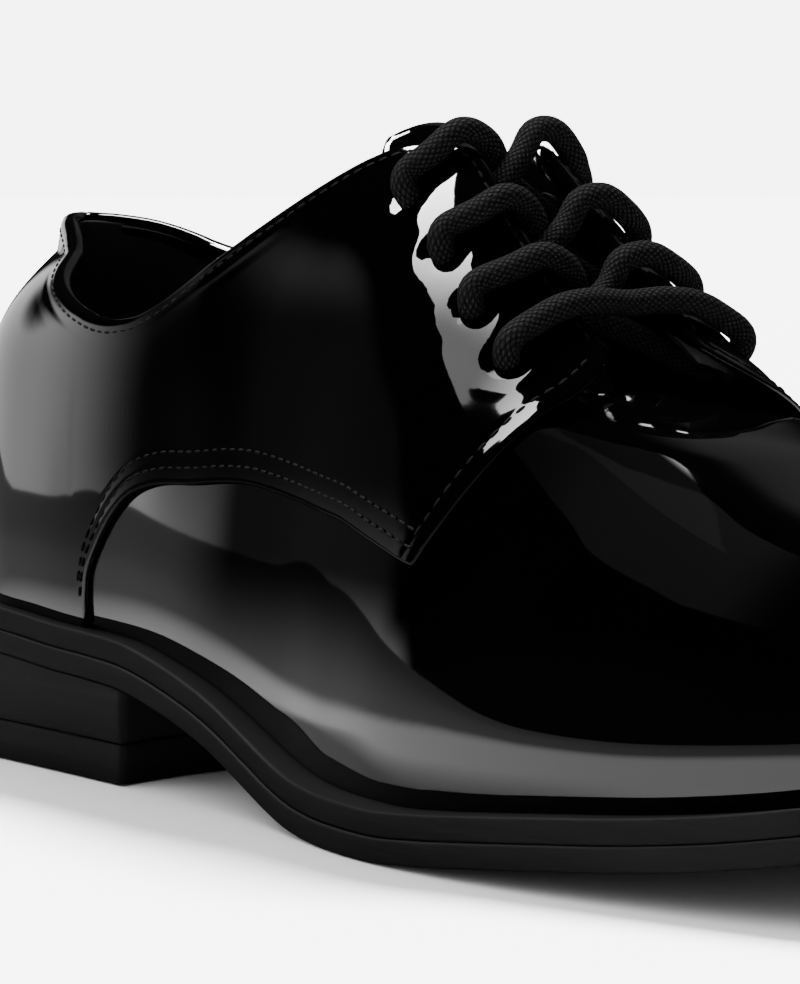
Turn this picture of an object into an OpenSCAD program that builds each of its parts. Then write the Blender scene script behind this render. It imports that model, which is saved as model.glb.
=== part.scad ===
// Laced derby tap shoe for the right foot: leather upper, stacked sole, heel, laces and two metal taps.
// Millimetres. +X to the toe, +Y to the inner side of the foot, +Z up, floor at z = 0.

/* [Size] */
// Length of the sole from heel to toe
sole_length = 304; // [250:1:340]
// Width of the sole at the ball of the foot
ball_width = 101; // [86:1:118]
// Height of the heel at its front, under the outsole
heel_height = 16.5; // [12:0.5:26]
// Lift of the toe above the floor
toe_spring = 17; // [8:0.5:22]
// Height that is added to the whole upper
upper_raise = 0; // [-4:0.5:10]

/* [Sole] */
// Thickness of the outsole
outsole_t = 4; // [3:0.1:6]
// Thickness of the midsole that the upper is lasted onto
midsole_t = 4; // [3:0.1:6]
// How far the sole stands out beyond the upper at the ball
welt_out = 4.2; // [3:0.1:6]
// Thickness of the rubber lift under the heel
lift_t = 7.1; // [5:0.1:9]
// Distance from the back of the sole to the front face of the heel
heel_reach = 80.5; // [70:0.5:90]
// Thickness of the insole board
insole_t = 2; // [1.5:0.1:3]
// Thickness of the sock liner
sock_t = 1; // [0.6:0.1:1.6]

/* [Upper] */
// Thickness of the outer leather
leather_t = 1.2; // [0.9:0.1:1.5]
// Thickness of the stiffeners at toe and heel
stiff_t = 0.9; // [0.7:0.1:1.1]
// Thickness of the lining leather
lining_t = 0.8; // [0.6:0.1:1.2]
// Half of the gap between the two facings at the collar
facing_gap = 7.8; // [7:0.1:9]
// Thickness of the tongue's outer leather
tongue_t = 1.1; // [0.9:0.1:1.4]
// Thickness of the padding inside the tongue
pad_t = 1.6; // [1:0.1:2.4]

/* [Laces] */
// Diameter of the round lace
lace_d = 4.3; // [3.4:0.1:4.4]
// Diameter of the lace holes in the outer leather
hole_d = 5.6; // [5.4:0.1:6.2]

/* [Taps] */
// Thickness of the metal taps
tap_t = 2; // [1.5:0.1:2.6]
// Width of the crescent of the toe tap, front to back
toe_tap_w = 22; // [16:1:28]
// Shank diameter of the tap screws
tap_screw_d = 2.6; // [2:0.1:3.2]
// Head diameter of the tap screws
tap_head_d = 6; // [5:0.1:7]

/* [Hidden] */
$fn = 48;
gap = 0.1;
kx = sole_length / 304;
kw = ball_width / 101;
sole_t = outsole_t + midsole_t;

// Half widths of the sole outline on the outer and the inner side of the foot, by distance from the back
outer_w = [[0, 33], [30, 33], [55, 34], [80, 35.4], [110, 37.5], [130, 40.5], [150, 45.4], [170, 49.6],
  [190, 50.8], [210, 49.6], [230, 46.6], [250, 42.4], [270, 38], [290, 34], [304, 31]];
inner_w = [[0, 33], [30, 33], [55, 33.5], [80, 33.5], [110, 31], [135, 33], [160, 40], [185, 47.5],
  [210, 51], [230, 50], [250, 46.5], [270, 42], [290, 37.5], [304, 34]];
toe_swing = [[0, 0], [200, 0], [250, 1], [285, 4], [304, 7]];
// Height of the outsole's underside: heel and arch part, and toe part
arch_z = [[0, 20.5], [35, 19.3], [55, 18], [70, 17.4], [82, 16.5], [96, 13.8], [110, 10.2], [125, 5.4],
  [135, 2.6], [146, 0.8], [160, 0], [304, 0]];
toe_z = [[0, 0], [175, 0], [188, 0.8], [200, 1.9], [215, 3.3], [231, 4.7], [248, 6.7], [262, 9],
  [285, 13.2], [304, 17]];
// Crest of the upper's cross section, and how square that section is
crest_z = [[0, 150], [60, 143], [90, 136], [120, 125], [150, 111.5], [165, 97.5], [180, 84.5],
  [200, 71], [225, 60.5], [250, 54], [270, 50.5], [285, 48], [304, 45]];
square_n = [[0, 1.9], [120, 1.9], [150, 2], [180, 2.35], [210, 2.3], [304, 2.3]];
crest_lean = [[0, 0], [90, 0], [150, -3.2], [190, -3.2], [230, -1], [270, 0], [304, 0]];
heel_curve = [[0, 0], [12, -2.2], [25, -2.6], [45, -2.4], [60, -0.4], [75, 2.6], [100, 4.2], [150, 4.6]];
collar_lean = [[4, 2.5], [20, 5.2], [45, 4], [65, 2], [95, 0]];
collar_z = [[4, 98.3], [12, 96.9], [24, 92.5], [45, 84], [60, 80.5], [70, 80.4], [80, 82.6], [92, 88.3],
  [105, 95], [120, 102.5], [132, 108], [141, 110.5], [147, 110]];
heel_r = 34;
toe_r = 62;
back_in = 4;
toe_in = 5;
last_s = 304 - toe_in;

function hold(x, a, b) = min(b, max(a, x));
function mix(a, b, t) = a + (b - a) * t;
function span_at(t, x, i = 0) = i >= len(t) - 2 || x < t[i + 1][0] ? i : span_at(t, x, i + 1);
function slope(t, i) =
  let (a = max(0, i - 1), b = min(len(t) - 1, i + 1)) (t[b][1] - t[a][1]) / (t[b][0] - t[a][0]);
// Smooth curve through the points of a table
function curve(t, x0) =
  let (x = hold(x0, t[0][0], t[len(t) - 1][0]), i = span_at(t, x), h = t[i + 1][0] - t[i][0])
  let (u = (x - t[i][0]) / h, m = slope(t, i) * h, n = slope(t, i + 1) * h)
  (2 * u * u * u - 3 * u * u + 1) * t[i][1] + (u * u * u - 2 * u * u + u) * m
  + (3 * u * u - 2 * u * u * u) * t[i + 1][1] + (u * u * u - u * u) * n;

// Rounding of the outline at heel and toe, 0 at the very ends and 1 between
function heel_cap(s) = s >= heel_r ? 1 : sqrt(max(0, 1 - pow((heel_r - s) / heel_r, 2)));
function toe_cap(s) = pow(max(0, 1 - pow(hold((s - 304 + toe_r) / toe_r, 0, 1), 3)), 1 / 2);
function ends(s) = heel_cap(s) * toe_cap(s);
function centre_y(s) = kw * curve(toe_swing, s);
function side_w(s, side) = kw * curve(side < 0 ? outer_w : inner_w, s);
function px(s) = kx * s - sole_length / 2;

// Sole heights
function sole_z(s) = curve(arch_z, s) * heel_height / 16.5 + curve(toe_z, s) * toe_spring / 17;
function welt_z(s) = sole_z(s) + sole_t;
function lift(s) = sole_z(s) - curve(arch_z, s) - curve(toe_z, s) + sole_t - 8 + upper_raise;

// Outline of the sole at one side, drawn in by an inset
function edge_point(s, side, inset) =
  let (u = hold(s, 0, 304), c = ends(u))
  let (f = 1 - hold(u / heel_r, 0, 1), g = hold((u - 304 + toe_r) / toe_r, 0, 1))
  [px(u) + inset * f - inset * g * g, centre_y(u) + side * max(0, side_w(u, side) - inset) * c];
heel_steps = [for (i = [0 : 9]) heel_r * (1 - cos(i * 10))];
mid_steps = [for (s = [42 : 8 : 234]) s];
toe_steps = [for (i = [0 : 10]) 304 - 62 * pow(1 - i / 10, 2)];
outline_steps = concat(heel_steps, mid_steps, toe_steps);
function outline(inset, steps = outline_steps) =
  let (n = len(steps))
  concat([for (i = [0 : n - 1]) edge_point(steps[i], -1, inset)],
    [for (i = [n - 2 : -1 : 1]) edge_point(steps[i], 1, inset)]);

// A layer of the sole: side profile between two heights above the sole's underside
profile_steps = concat([for (s = [-6 : 8 : 90]) s], [for (s = [96 : 6 : 162]) s],
  [for (s = [170 : 8 : 306]) s], [312]);
function profile_z(s) = s > 304 ? sole_z(304) + (s - 304) * 0.2 : sole_z(max(0, s));
module band(low, high) {
  n = len(profile_steps);
  pts = concat([for (s = profile_steps) [px(s), profile_z(s) + low]],
    [for (i = [n - 1 : -1 : 0]) [px(profile_steps[i]), profile_z(profile_steps[i]) + high]]);
  translate([0, 90, 0])
    rotate([90, 0, 0])
      linear_extrude(180)
        polygon(pts);
}
module layer(inset, low, high) {
  intersection() {
    band(low, high);
    linear_extrude(160)
      polygon(outline(inset));
  }
}

// Upper surface: s runs from the heel to the toe, q from 0 (outer edge) over 1 (crest) to 2 (inner edge)
out_table = [[0, 1.6], [80, 1.8], [110, 2.4], [150, welt_out - 0.6], [190, welt_out], [304, welt_out]];
function out_at(s) = curve(out_table, s);
function wrap(s) = (s - back_in) / (304 - back_in - toe_in) * 304;
function toe_drop(s) = pow(max(0, 1 - pow(hold((wrap(s) - 256) / 48, 0, 1), 2.6)), 1 / 2);
function crest(s) = curve(crest_z, s) + lift(s);
function collar(s) = curve(collar_z, s) + lift(s);
function surf(s, q, off = 0, up = 0) =
  let (side = q <= 1 ? -1 : 1, th = 90 * (q <= 1 ? q : 2 - q), u = hold(wrap(s), 0, 304), c = ends(u))
  let (w = max(0, side_w(s, side) - out_at(s) - off) * c, e = 2 / curve(square_n, s), zf = welt_z(s) + up)
  let (h = max(0, crest(s) - off - zf) * toe_drop(s), sn = max(0, sin(th)), cs = max(0, cos(th)))
  let (z = zf + h * pow(sn, e), zz = z - welt_z(s), g = pow(hold((z - lift(s) - 64) / 26, 0, 1.03), 3))
  let (f = hold(1 - (s - back_in) / 62, 0, 1), tuck = 1.6 * pow(hold(1 - zz / 14, 0, 1), 2))
  let (y = side * (w * pow(cs, e) - tuck * c) * (1 - 0.42 * g * pow(f, 1.2)) + g * curve(collar_lean, s))
  let (b = hold(1 - (s - back_in) / heel_r, 0, 1), t = hold((s - last_s + toe_r) / toe_r, 0, 1))
  [px(s) + off * b - off * t * t + curve(heel_curve, zz) * pow(hold(1 - (s - back_in) / 60, 0, 1), 2),
    y + centre_y(s) + curve(crest_lean, s) * sn * sn, z];
// Section value q of the point at height z
function q_at(s, z, side) =
  let (r = pow(hold((z - welt_z(s)) / (crest(s) - welt_z(s)), 0, 1), curve(square_n, s) / 2))
  side < 0 ? asin(r) / 90 : 2 - asin(r) / 90;
function unit(v) = v / norm(v);
function out_normal(s, q) =
  unit(cross(surf(s + 0.5, q) - surf(s - 0.5, q), surf(s, q + 0.01) - surf(s, q - 0.01)));
// Point at a true depth under the outer face; above it when the depth is negative
function deep(s, q, depth) = surf(s, q) - depth * out_normal(s, q);

// Closed sheet between an outer and an inner grid of points; cells may be left out,
// and the last row may meet in a point
module sheet(outer, inner, on = function (i, j) true, pole = false) {
  n = len(outer);
  m = len(outer[0]);
  total = n * m;
  function id(i, j, k) =
    let (jj = pole && i == n - 1 ? (j == 0 || j == m - 1 ? 0 : 1) : j) k * total + i * m + jj;
  function live(i, j) = i >= 0 && j >= 0 && i < n - 1 && j < m - 1 && on(i, j);
  function tidy(f) = [for (k = [0 : len(f) - 1]) if (f[k] != f[(k + 1) % len(f)]) f[k]];
  cells = [for (i = [0 : n - 2]) for (j = [0 : m - 2]) if (live(i, j)) [i, j]];
  faces = [for (c = cells) let (i = c[0], j = c[1]) each concat(
    [[id(i, j, 0), id(i, j + 1, 0), id(i + 1, j + 1, 0), id(i + 1, j, 0)]],
    [[id(i, j, 1), id(i + 1, j, 1), id(i + 1, j + 1, 1), id(i, j + 1, 1)]],
    live(i - 1, j) ? [] : [[id(i, j, 0), id(i, j, 1), id(i, j + 1, 1), id(i, j + 1, 0)]],
    live(i + 1, j) || (pole && i == n - 2) ? []
      : [[id(i + 1, j, 0), id(i + 1, j + 1, 0), id(i + 1, j + 1, 1), id(i + 1, j, 1)]],
    live(i, j - 1) ? [] : [[id(i, j, 0), id(i + 1, j, 0), id(i + 1, j, 1), id(i, j, 1)]],
    live(i, j + 1) ? [] : [[id(i, j + 1, 0), id(i, j + 1, 1), id(i + 1, j + 1, 1), id(i + 1, j + 1, 0)]])];
  ci = floor((n - 1) / 2);
  cj = floor((m - 1) / 2);
  e = cross(outer[ci][cj + 1] - outer[ci][cj], outer[ci + 1][cj] - outer[ci][cj]);
  turn = e * (outer[ci][cj] - inner[ci][cj]) > 0;
  good = [for (f = faces) let (g = tidy(f))
    if (len(g) > 2) turn ? [for (k = [len(g) - 1 : -1 : 0]) g[k]] : g];
  pts = [for (g = [outer, inner]) for (i = [0 : n - 1]) for (j = [0 : m - 1])
    g[i][j]];
  polyhedron(pts, good, convexity = 12);
}

// Turned-in lasting margin: a point of the lower edge moved in under the foot
function margin_point(s, side, up) =
  let (p = surf(s, side < 0 ? 0 : 2), c = [px(hold(s, 44, 258)), centre_y(hold(s, 44, 258)), 0])
  let (r = c + 0.7 * (p - c), su = hold((r[0] + sole_length / 2) / kx, 0, 304))
  [r[0], r[1], welt_z(su) + up];

// The vamp lies lower than the facings over the instep: its crest is pressed down above this height
vamp_rest = [[0, 200], [170, 90], [180, 72], [188, 67.5], [200, 65], [215, 63], [235, 60], [304, 60]];
function press(z, k) = z <= k ? z : k + (z - k) * (0.35 + 0.65 * exp((k - z) / 4));
function vamp_surf(s, q, off = 0, up = 0) =
  let (p = surf(s, q, off, up))
  [p[0], p[1], press(p[2] + off, curve(vamp_rest, s) + lift(s)) - off];

// Layers of the upper, counted inward from the outer face of the quarters
vamp_off = leather_t + gap;
under_off = vamp_off + leather_t + gap;
line_off = under_off + stiff_t + gap;
inner_off = line_off + lining_t;
margin_low = 0.2;
margin_up = leather_t + 0.4;

// Columns of a quarter: lower end (s, q) and upper end (s, q); -1 is the collar edge, -2 the facing edge
quarter_cols = [[4.05, 0, 4.05, -1], [5, 0, 5.2, -1], [8, 0, 8, -1], [13, 0, 13, -1], [20, 0, 20, -1],
  [30, 0, 29, -1], [42, 0, 39, -1], [53, 0, 48, -1], [61, 0, 55, -1], [63, 0.035, 60, -1],
  [64.5, 0.065, 65, -1],
  [68.5, 0.1, 70, -1], [73, 0.13, 76, -1], [79, 0.157, 84, -1], [88, 0.18, 93, -1], [99, 0.2, 103, -1],
  [110, 0.225, 114, -1], [120, 0.246, 125, -1], [130, 0.26, 134, -1], [139, 0.268, 141, -1],
  [147, 0.272, 146.5, -1], [154, 0.275, 150.5, -2], [160, 0.276, 157, -2], [166, 0.276, 165, -2],
  [171, 0.276, 174, -2], [175, 0.277, 182, -2], [178, 0.28, 187.6, -2]];
front_swell = [[0, 0], [0.13, 3.4], [0.27, 5.6], [0.42, 6.8], [0.61, 7.1], [0.76, 6.8], [0.89, 4.3],
  [1, 0]];
front_share = [[0, 0], [19, 0], [21, 0.12], [23, 0.4], [24, 0.6], [25, 0.82], [26, 1]];
quarter_rows = [0, 0.04, 0.13, 0.24, 0.36, 0.48, 0.6, 0.71, 0.81, 0.9, 0.96, 1];
function gap_q(s, g) =
  let (w = (side_w(s, -1) - out_at(s)) * ends(wrap(s)))
  acos(pow(hold(g / w, 0, 1), curve(square_n, s) / 2)) / 90;
function facing_q(s) = gap_q(s, facing_gap + 1.6 * (s - 151) / 37);
function top_q(s, code) = code == -1 ? q_at(s, collar(s), -1) : code == -2 ? facing_q(s) : code;
function mirror_q(q, side) = side < 0 ? q : 2 - q;
function quarter_sq(i, b) =
  let (c = quarter_cols[i])
  [mix(c[0], c[2], b) + curve(front_swell, b) * curve(front_share, i), mix(c[1], top_q(c[2], c[3]), b)];
function quarter_grid(side, off) =
  [for (i = [0 : len(quarter_cols) - 1]) concat(
    [margin_point(quarter_cols[i][0], side, off == 0 ? margin_low : leather_t)],
    [for (b = quarter_rows) let (k = quarter_sq(i, b))
      surf(k[0], mirror_q(k[1], side), off,
        quarter_cols[i][1] > 0 ? 0 : off == 0 ? margin_low : leather_t)])];
module quarter(side) {
  a = quarter_grid(side, 0);
  b = quarter_grid(side, leather_t);
  on = function (i, j) j > 0 || i < 8;
  difference() {
    sheet(a, b, on);
    eyelet_cuts(side, hole_d);
  }
}
module quarter_outer_side() {
  color("#0b0b0c")
    quarter(-1);
}
module quarter_inner_side() {
  color("#0b0b0c")
    quarter(1);
}

eyelet_s = [180.6, 170.1, 159.5, 146.7];
eyelet_q = 0.685;
module at_eyelet(i, side) {
  q = mirror_q(eyelet_q, side);
  out = out_normal(eyelet_s[i], q);
  translate(surf(eyelet_s[i], q))
    rotate([0, acos(out[2]), atan2(out[1], out[0])])
      children();
}
module eyelet_cuts(side, d) {
  for (i = [0 : 3])
    at_eyelet(i, side)
      translate([0, 0, -9])
        cylinder(h = 12, d = d, $fn = 24);
}
// Blind eyelets: a short tube with a rolled flange on the inside of the facing
module blind_eyelets() {
  color("#2a2a2c")
    for (side = [-1, 1])
      for (i = [0 : 3])
        at_eyelet(i, side)
          rotate_extrude($fn = 24)
            polygon([[hole_d / 2, -inner_off - 0.65], [hole_d / 2 + 1.3, -inner_off - 0.65],
              [hole_d / 2 + 1.3, -inner_off - 0.3], [hole_d / 2 + 0.35, -inner_off - 0.3],
              [hole_d / 2 + 0.35, -vamp_off - 0.25], [hole_d / 2, -vamp_off - 0.25]]);
}
// Reinforcement of the facings
stay_s = [139, 142, 145, 148, 151, 154, 158, 163, 168, 173, 178, 183, 187];
function stay_point(s, b, side, off) =
  let (low = s > 180 ? 0.6 + (s - 180) * 0.03 : 0.59)
  let (high = min(s < 151 ? q_at(s, collar(min(s, 147)) - 1, -1) : 1, facing_q(s) - 0.012))
  surf(s, mirror_q(mix(low, high, b), side), off);
module eyelet_stays() {
  color("#1c1c1e")
    for (side = [-1, 1]) {
      a = [for (s = stay_s) [for (b = [0 : 0.2 : 1.01]) stay_point(s, b, side, vamp_off + 0.2)]];
      c = [for (s = stay_s)
        [for (b = [0 : 0.2 : 1.01]) stay_point(s, b, side, under_off + stiff_t - 0.2)]];
      difference() {
        sheet(a, c);
        eyelet_cuts(side, hole_d + 1);
      }
    }
}

wing_top = [[56, 0.1], [60, 0.13], [66, 0.17], [76, 0.22], [88, 0.25], [100, 0.27], [120, 0.31],
  [139, 0.335],
  [160, 0.345], [171, 0.37], [176, 0.45], [180, 0.56], [183, 0.7], [185, 0.82], [186.5, 0.87], [196, 0.8],
  [215, 0.74], [304, 0.74]];
vamp_s = [56, 60, 64.5, 74, 84, 96, 108, 120, 132, 144, 154, 163, 171, 176, 180, 183, 185, 186.5,
  190, 196, 204,
  214, 224, 236, 248, 258, 267, 275, 282, 288, 292.5, 295.7, 297.8, 298.7, 299];
vamp_open = 17;
wing_cells = 7;
crest_cells = 4;
function vamp_q(s, j) =
  let (t = curve(wing_top, s), m = 2 * wing_cells + crest_cells)
  j <= wing_cells ? t * pow(j / wing_cells, 1.15)
  : j >= m - wing_cells ? 2 - t * pow((m - j) / wing_cells, 1.15)
  : mix(t, 2 - t, (j - wing_cells) / crest_cells);
function vamp_grid(off) =
  let (m = 2 * wing_cells + crest_cells, u = off == vamp_off ? margin_low : leather_t)
  [for (s = vamp_s) concat(
    [margin_point(s, -1, u)],
    [for (j = [0 : m]) vamp_surf(s, vamp_q(s, j), off, s < 62 ? margin_up + 0.1 : u)],
    [margin_point(s, 1, u)])];
module vamp() {
  m = 2 * wing_cells + crest_cells;
  color("#0b0b0c")
    sheet(vamp_grid(vamp_off + leather_t), vamp_grid(vamp_off),
      function (i, j) j == 0 || j == m + 1 ? i >= 2
        : i >= vamp_open || j <= wing_cells || j > wing_cells + crest_cells, true);
}

puff_s = [264, 270, 276, 282, 287, 291, 294.5, 297, 298.6, 299];
module toe_puff() {
  color("#c9b48c")
    sheet([for (s = puff_s)
        [for (j = [0 : 18]) vamp_surf(s, j / 9, under_off + stiff_t - 0.15, margin_up)]],
      [for (s = puff_s) [for (j = [0 : 18]) vamp_surf(s, j / 9, under_off + 0.15, margin_up)]],
      function (i, j) true, true);
}
// Grid that runs round the heel from one side to the other
heel_cols = [[54.5, 54], [49, 48], [43.5, 41.5], [37, 34], [29, 27], [21, 20], [14, 13.5], [9, 8.6],
  [6, 5.8],  [4.6, 4.5],
  [4.02, 4.02]];
function round_heel(n) = concat([for (i = [0 : n - 1]) [i, -1]], [for (i = [n - 2 : -1 : 0]) [i, 1]]);
module heel_counter() {
  n = len(heel_cols);
  function at(k, b, off) =
    let (c = heel_cols[k[0]], side = k[1], top = 30 + 28 * (1 - pow(c[1] / 70, 2)) + welt_z(c[1]))
    let (s = mix(c[0], c[1], b))
    surf(s, mix(side < 0 ? 0 : 2, q_at(c[1], min(top, collar(c[1]) - 17.5), side), b), off, margin_up);
  color("#c9b48c")
    sheet([for (k = round_heel(n)) [for (b = [0 : 0.125 : 1]) at(k, b, vamp_off + 0.6)]],
      [for (k = round_heel(n)) [for (b = [0 : 0.125 : 1]) at(k, b, under_off + stiff_t - 0.1)]]);
}
module back_seam_tape() {
  cols = [8, 6, 4.6, 4.02];
  function at(k, b, off) =
    let (s = cols[k[0]], side = k[1])
    surf(s, mix(side < 0 ? 0.06 : 1.94, q_at(s, collar(s) - 16.5, side), b), off, margin_up);
  color("#26262a")
    sheet([for (k = round_heel(4)) [for (b = [0 : 0.125 : 1]) at(k, b, vamp_off + 0.05)]],
      [for (k = round_heel(4)) [for (b = [0 : 0.125 : 1]) at(k, b, vamp_off + 0.45)]]);
}
// Padding band under the collar edge
pad_cols = [136, 131, 125, 114, 103, 93, 84, 76, 70, 65, 60, 55, 48, 39, 29, 20, 13, 8, 5.2, 4.02];
module collar_padding() {
  function at(k, b, off) =
    let (s = pad_cols[k[0]], side = k[1])
    surf(s, q_at(s, min(collar(s), collar(147)) - 1 - 14 * b, side), off);
  n = len(pad_cols);
  color("#5a564e")
    sheet([for (k = round_heel(n)) [for (b = [0 : 0.25 : 1]) at(k, b, under_off + stiff_t - 0.4)]],
      [for (k = round_heel(n)) [for (b = [0 : 0.25 : 1]) at(k, b, vamp_off + 0.25)]]);
}
lining_s = [4.02, 5, 8, 13, 20, 29, 39, 49, 58, 66, 74, 82, 90, 98, 105, 112, 119, 126, 132, 137, 141, 144,
  146,
  147.5, 148.7, 149.5, 150];
lining_swell = [[0, 0], [0.33, -1], [0.6, -2.5], [0.8, -1.5], [1, 0]];
function lining_point(i, b, side, off) =
  let (c = quarter_cols[i], top = c[3] == -2 ? min(c[2], 186.5) : max(c[2], lining_s[0]))
  surf(mix(lining_s[i], top, b) + curve(lining_swell, b) * curve(front_share, i),
    mirror_q(mix(0, top_q(top, c[3]) - (c[3] == -2 ? 0.012 : 0), b), side), off, margin_up);
lining_rows = [0, 0.05, 0.13, 0.24, 0.36, 0.48, 0.6, 0.71, 0.81, 0.9, 1];
module quarter_lining() {
  n = len(lining_s);
  ks = concat([for (i = [n - 1 : -1 : 0]) [i, -1]], [for (i = [1 : n - 1]) [i, 1]]);
  color("#2c2a29")
    difference() {
      sheet([for (k = ks) [for (b = lining_rows) lining_point(k[0], b, k[1], inner_off)]],
        [for (k = ks) [for (b = lining_rows) lining_point(k[0], b, k[1], line_off)]]);
      eyelet_cuts(-1, hole_d + 1);
      eyelet_cuts(1, hole_d + 1);
    }
}
vamp_line_rear = [[0, 153], [0.33, 164.5], [0.5, 175.5], [0.7, 187], [0.8, 197], [1, 198]];
vamp_line_q = [0, 0.06, 0.14, 0.24, 0.36, 0.48, 0.6, 0.7, 0.8, 0.9, 1];
module vamp_lining() {
  qs = concat(vamp_line_q, [for (j = [9 : -1 : 0]) 2 - vamp_line_q[j]]);
  ts = [0, 0.08, 0.17, 0.27, 0.38, 0.5, 0.62, 0.72, 0.8, 0.87, 0.92, 0.957, 0.98, 0.994, 1];
  function at(t, q, off) =
    vamp_surf(mix(curve(vamp_line_rear, q <= 1 ? q : 2 - q), last_s, t), q, off, margin_up);
  color("#2c2a29")
    sheet([for (t = ts) [for (q = qs) at(t, q, inner_off)]],
      [for (t = ts) [for (q = qs) at(t, q, line_off)]],
      function (i, j) true, true);
}

lace_under = inner_off + 0.65 + 0.4 + lace_d / 2;
tight = max(0, 1 - kx);
thick = max(0, leather_t - 1.2);
tongue_off = (lace_under + lace_d / 2 + 0.3) * 1.3 + tight * 9 + thick * 2.4;
tongue_s = [193, 190.5, 188, 185.5, 183, 180.5, 178, 175, 170, 164, 157, 150, 143, 137, 132, 129, 127.5];
tongue_half = [[127, 5.5], [128, 9.2], [130, 11.4], [133, 11.6], [137, 9.6], [141, 9.2], [147, 9.8],
  [152, 11.8], [160, 14.6], [175, 15], [193, 14]];
tongue_sink = [[127, 0.6], [134, 0.84], [141, 1.06], [147, 1.12], [160, 1.1], [172, 1], [183, 1],
  [185, 0.8],  [187, 0.35], [189, 0.05],
  [190, 0], [193, 0]];
tongue_bow = [[127, 0.42], [137, 0.6], [147, 0.85], [155, 1], [183, 1], [188, 0.6], [193, 0.55]];
function tongue_point(s, v, extra) =
  let (a = vamp_surf(s, 1, vamp_off + leather_t + 0.3), c = surf(s, 1), f = curve(tongue_sink, s))
  let (top = [c[0], c[1], s > 183 ? c[2] - tongue_off : c[2] - tongue_off * f], g = s > 183 ? f : 1)
  let (half = curve(tongue_half, s) * min(1, kw), y = top[1] + v * half)
  let (w = side_w(s, v < 0 ? -1 : 1) - out_at(s) - tongue_off * 0.75 * f, n = curve(square_n, s))
  let (fall = 1 - pow(1 - pow(abs(v) * half / w, n), 1 / n))
  let (drop = fall * (top[2] - welt_z(s)) * curve(tongue_bow, s))
  [px(s), y, mix(a[2], top[2], g) - drop - extra];
module tongue_layer(stations, low, high) {
  e = low > 0 ? 5 : 6;
  sheet([for (s = stations) [for (k = [-e : e]) tongue_point(s, k / 6, low)]],
    [for (s = stations) [for (k = [-e : e]) tongue_point(s, k / 6, high)]]);
}
module tongue() {
  color("#0b0b0c")
    tongue_layer(tongue_s, 0, tongue_t);
}
module tongue_padding() {
  color("#5a564e")
    tongue_layer([for (s = tongue_s) if (s < 181 && s > 128) s], tongue_t + gap, tongue_t + gap + pad_t);
}
module tongue_lining() {
  color("#2c2a29")
    tongue_layer([for (s = tongue_s) if (s < 181 && s > 128) s], tongue_t + pad_t + 2 * gap,
      tongue_t + pad_t + 2 * gap + lining_t);
}

// Round lace: points of its route as (s, q, depth under the outer face), one half, then mirrored
// High crossings run from the outer to the inner side, low crossings back
function side_q(q, side) = side < 0 ? q : 2 - q;
over = -lace_d / 2 - 0.22;
mm_q = 1 / 75;
hug = hole_d / 2 - lace_d / 2 - 0.15;
turn_r = lace_d / 2 + 0.2;
// Down through a lace hole along its edge toward the gap, seen from the top of the facing
function dive(i, side) =
  let (a = eyelet_s[i], d = i == 0 ? 0.3 : 0.9)
  [for (p = [[hug + turn_r, over, 1], [hug + turn_r * 0.3, over + turn_r * 0.28, 0.5],
    [hug, 0.1, 0], [hug, 2.6, 0]])
    [a - p[2] * d * 0.5, side_q(eyelet_q + p[0] * mm_q, side), p[1]]];
function rise(i, side) =
  let (a = eyelet_s[i], low = inner_off + 0.55)
  [for (p = [[hug, low, 0], [hug + turn_r * 0.3, low + turn_r * 0.72, 0.3],
    [hug + turn_r, lace_under - 0.1, 0.8]])
    [a - p[2], side_q(eyelet_q + p[0] * mm_q, side), p[1]]];
function crossing(i, side) =
  let (a = eyelet_s[i], b = eyelet_s[i + 1], d = a - b, high = side < 0)
  let (fa = facing_q(a), fb = facing_q(max(b, 148)))
  concat(rise(i, side),
    [[a - 0.12 * d, side_q(eyelet_q + 6.5 * mm_q, side), lace_under],
      [a - 0.17 * d, side_q(fa - 0.05, side), lace_under],
      [a - 0.27 * d, side_q(fa + 0.035, side), high ? 5 : lace_under],
      [(a + b) / 2, 1 - 0.012 * side, high ? 2 : 6.6],
      [b + 0.27 * d, side_q(fb + 0.05, -side), high ? -1 : 1.2],
      [b + 0.17 * d, side_q(fb - 0.02, -side), over - 0.35],
      [b + 0.12 * d, side_q(fb - 0.1, -side), over - 0.1]],
    dive(i + 1, -side));
function tail(side) =
  let (a = eyelet_s[3])
  [[a, side_q(eyelet_q + hug * mm_q, side), inner_off + 0.5],
    [a - 0.6, side_q(eyelet_q - 0.002, side), lace_under - 0.6],
    [a - 2.6, side_q(0.645, side), lace_under - 0.2], [a - 7, side_q(0.565, side), lace_under - 0.4],
    [a - 13, side_q(0.47, side), 7.1], [a - 21, side_q(0.38, side), 7.1], [a - 30, side_q(0.3, side), 7.1],
    [a - 40, side_q(0.22, side), 7.1], [a - 50, side_q(0.15, side), 7.2]];
function half_route(side) = concat(
  [[eyelet_s[0], side_q(0.93, side), over + 0.7], [eyelet_s[0] + 0.1, side_q(0.85, side), over - 0.2],
    [eyelet_s[0], side_q(0.765, side), over]],
  dive(0, side),
  crossing(0, side), crossing(1, -side), crossing(2, side), tail(-side));
function turned(list) = [for (i = [len(list) - 1 : -1 : 0]) list[i]];
route = concat(turned(half_route(-1)), [[eyelet_s[0] - 0.2, 1, over + 2]], half_route(1));
route_xyz = [for (r = route) deep(r[0], r[1], r[2])];
function spline_point(p, i, t) =
  let (n = len(p), a = p[max(0, i - 1)], b = p[i], c = p[min(n - 1, i + 1)], d = p[min(n - 1, i + 2)])
  0.5 * ((2 * b) + (c - a) * t + (2 * a - 5 * b + 4 * c - d) * t * t
    + (3 * b - a - 3 * c + d) * t * t * t);
lace_path = concat([for (i = [0 : len(route_xyz) - 2]) for (t = [0, 0.5]) spline_point(route_xyz, i, t)],
  [route_xyz[len(route_xyz) - 1]]);
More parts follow.
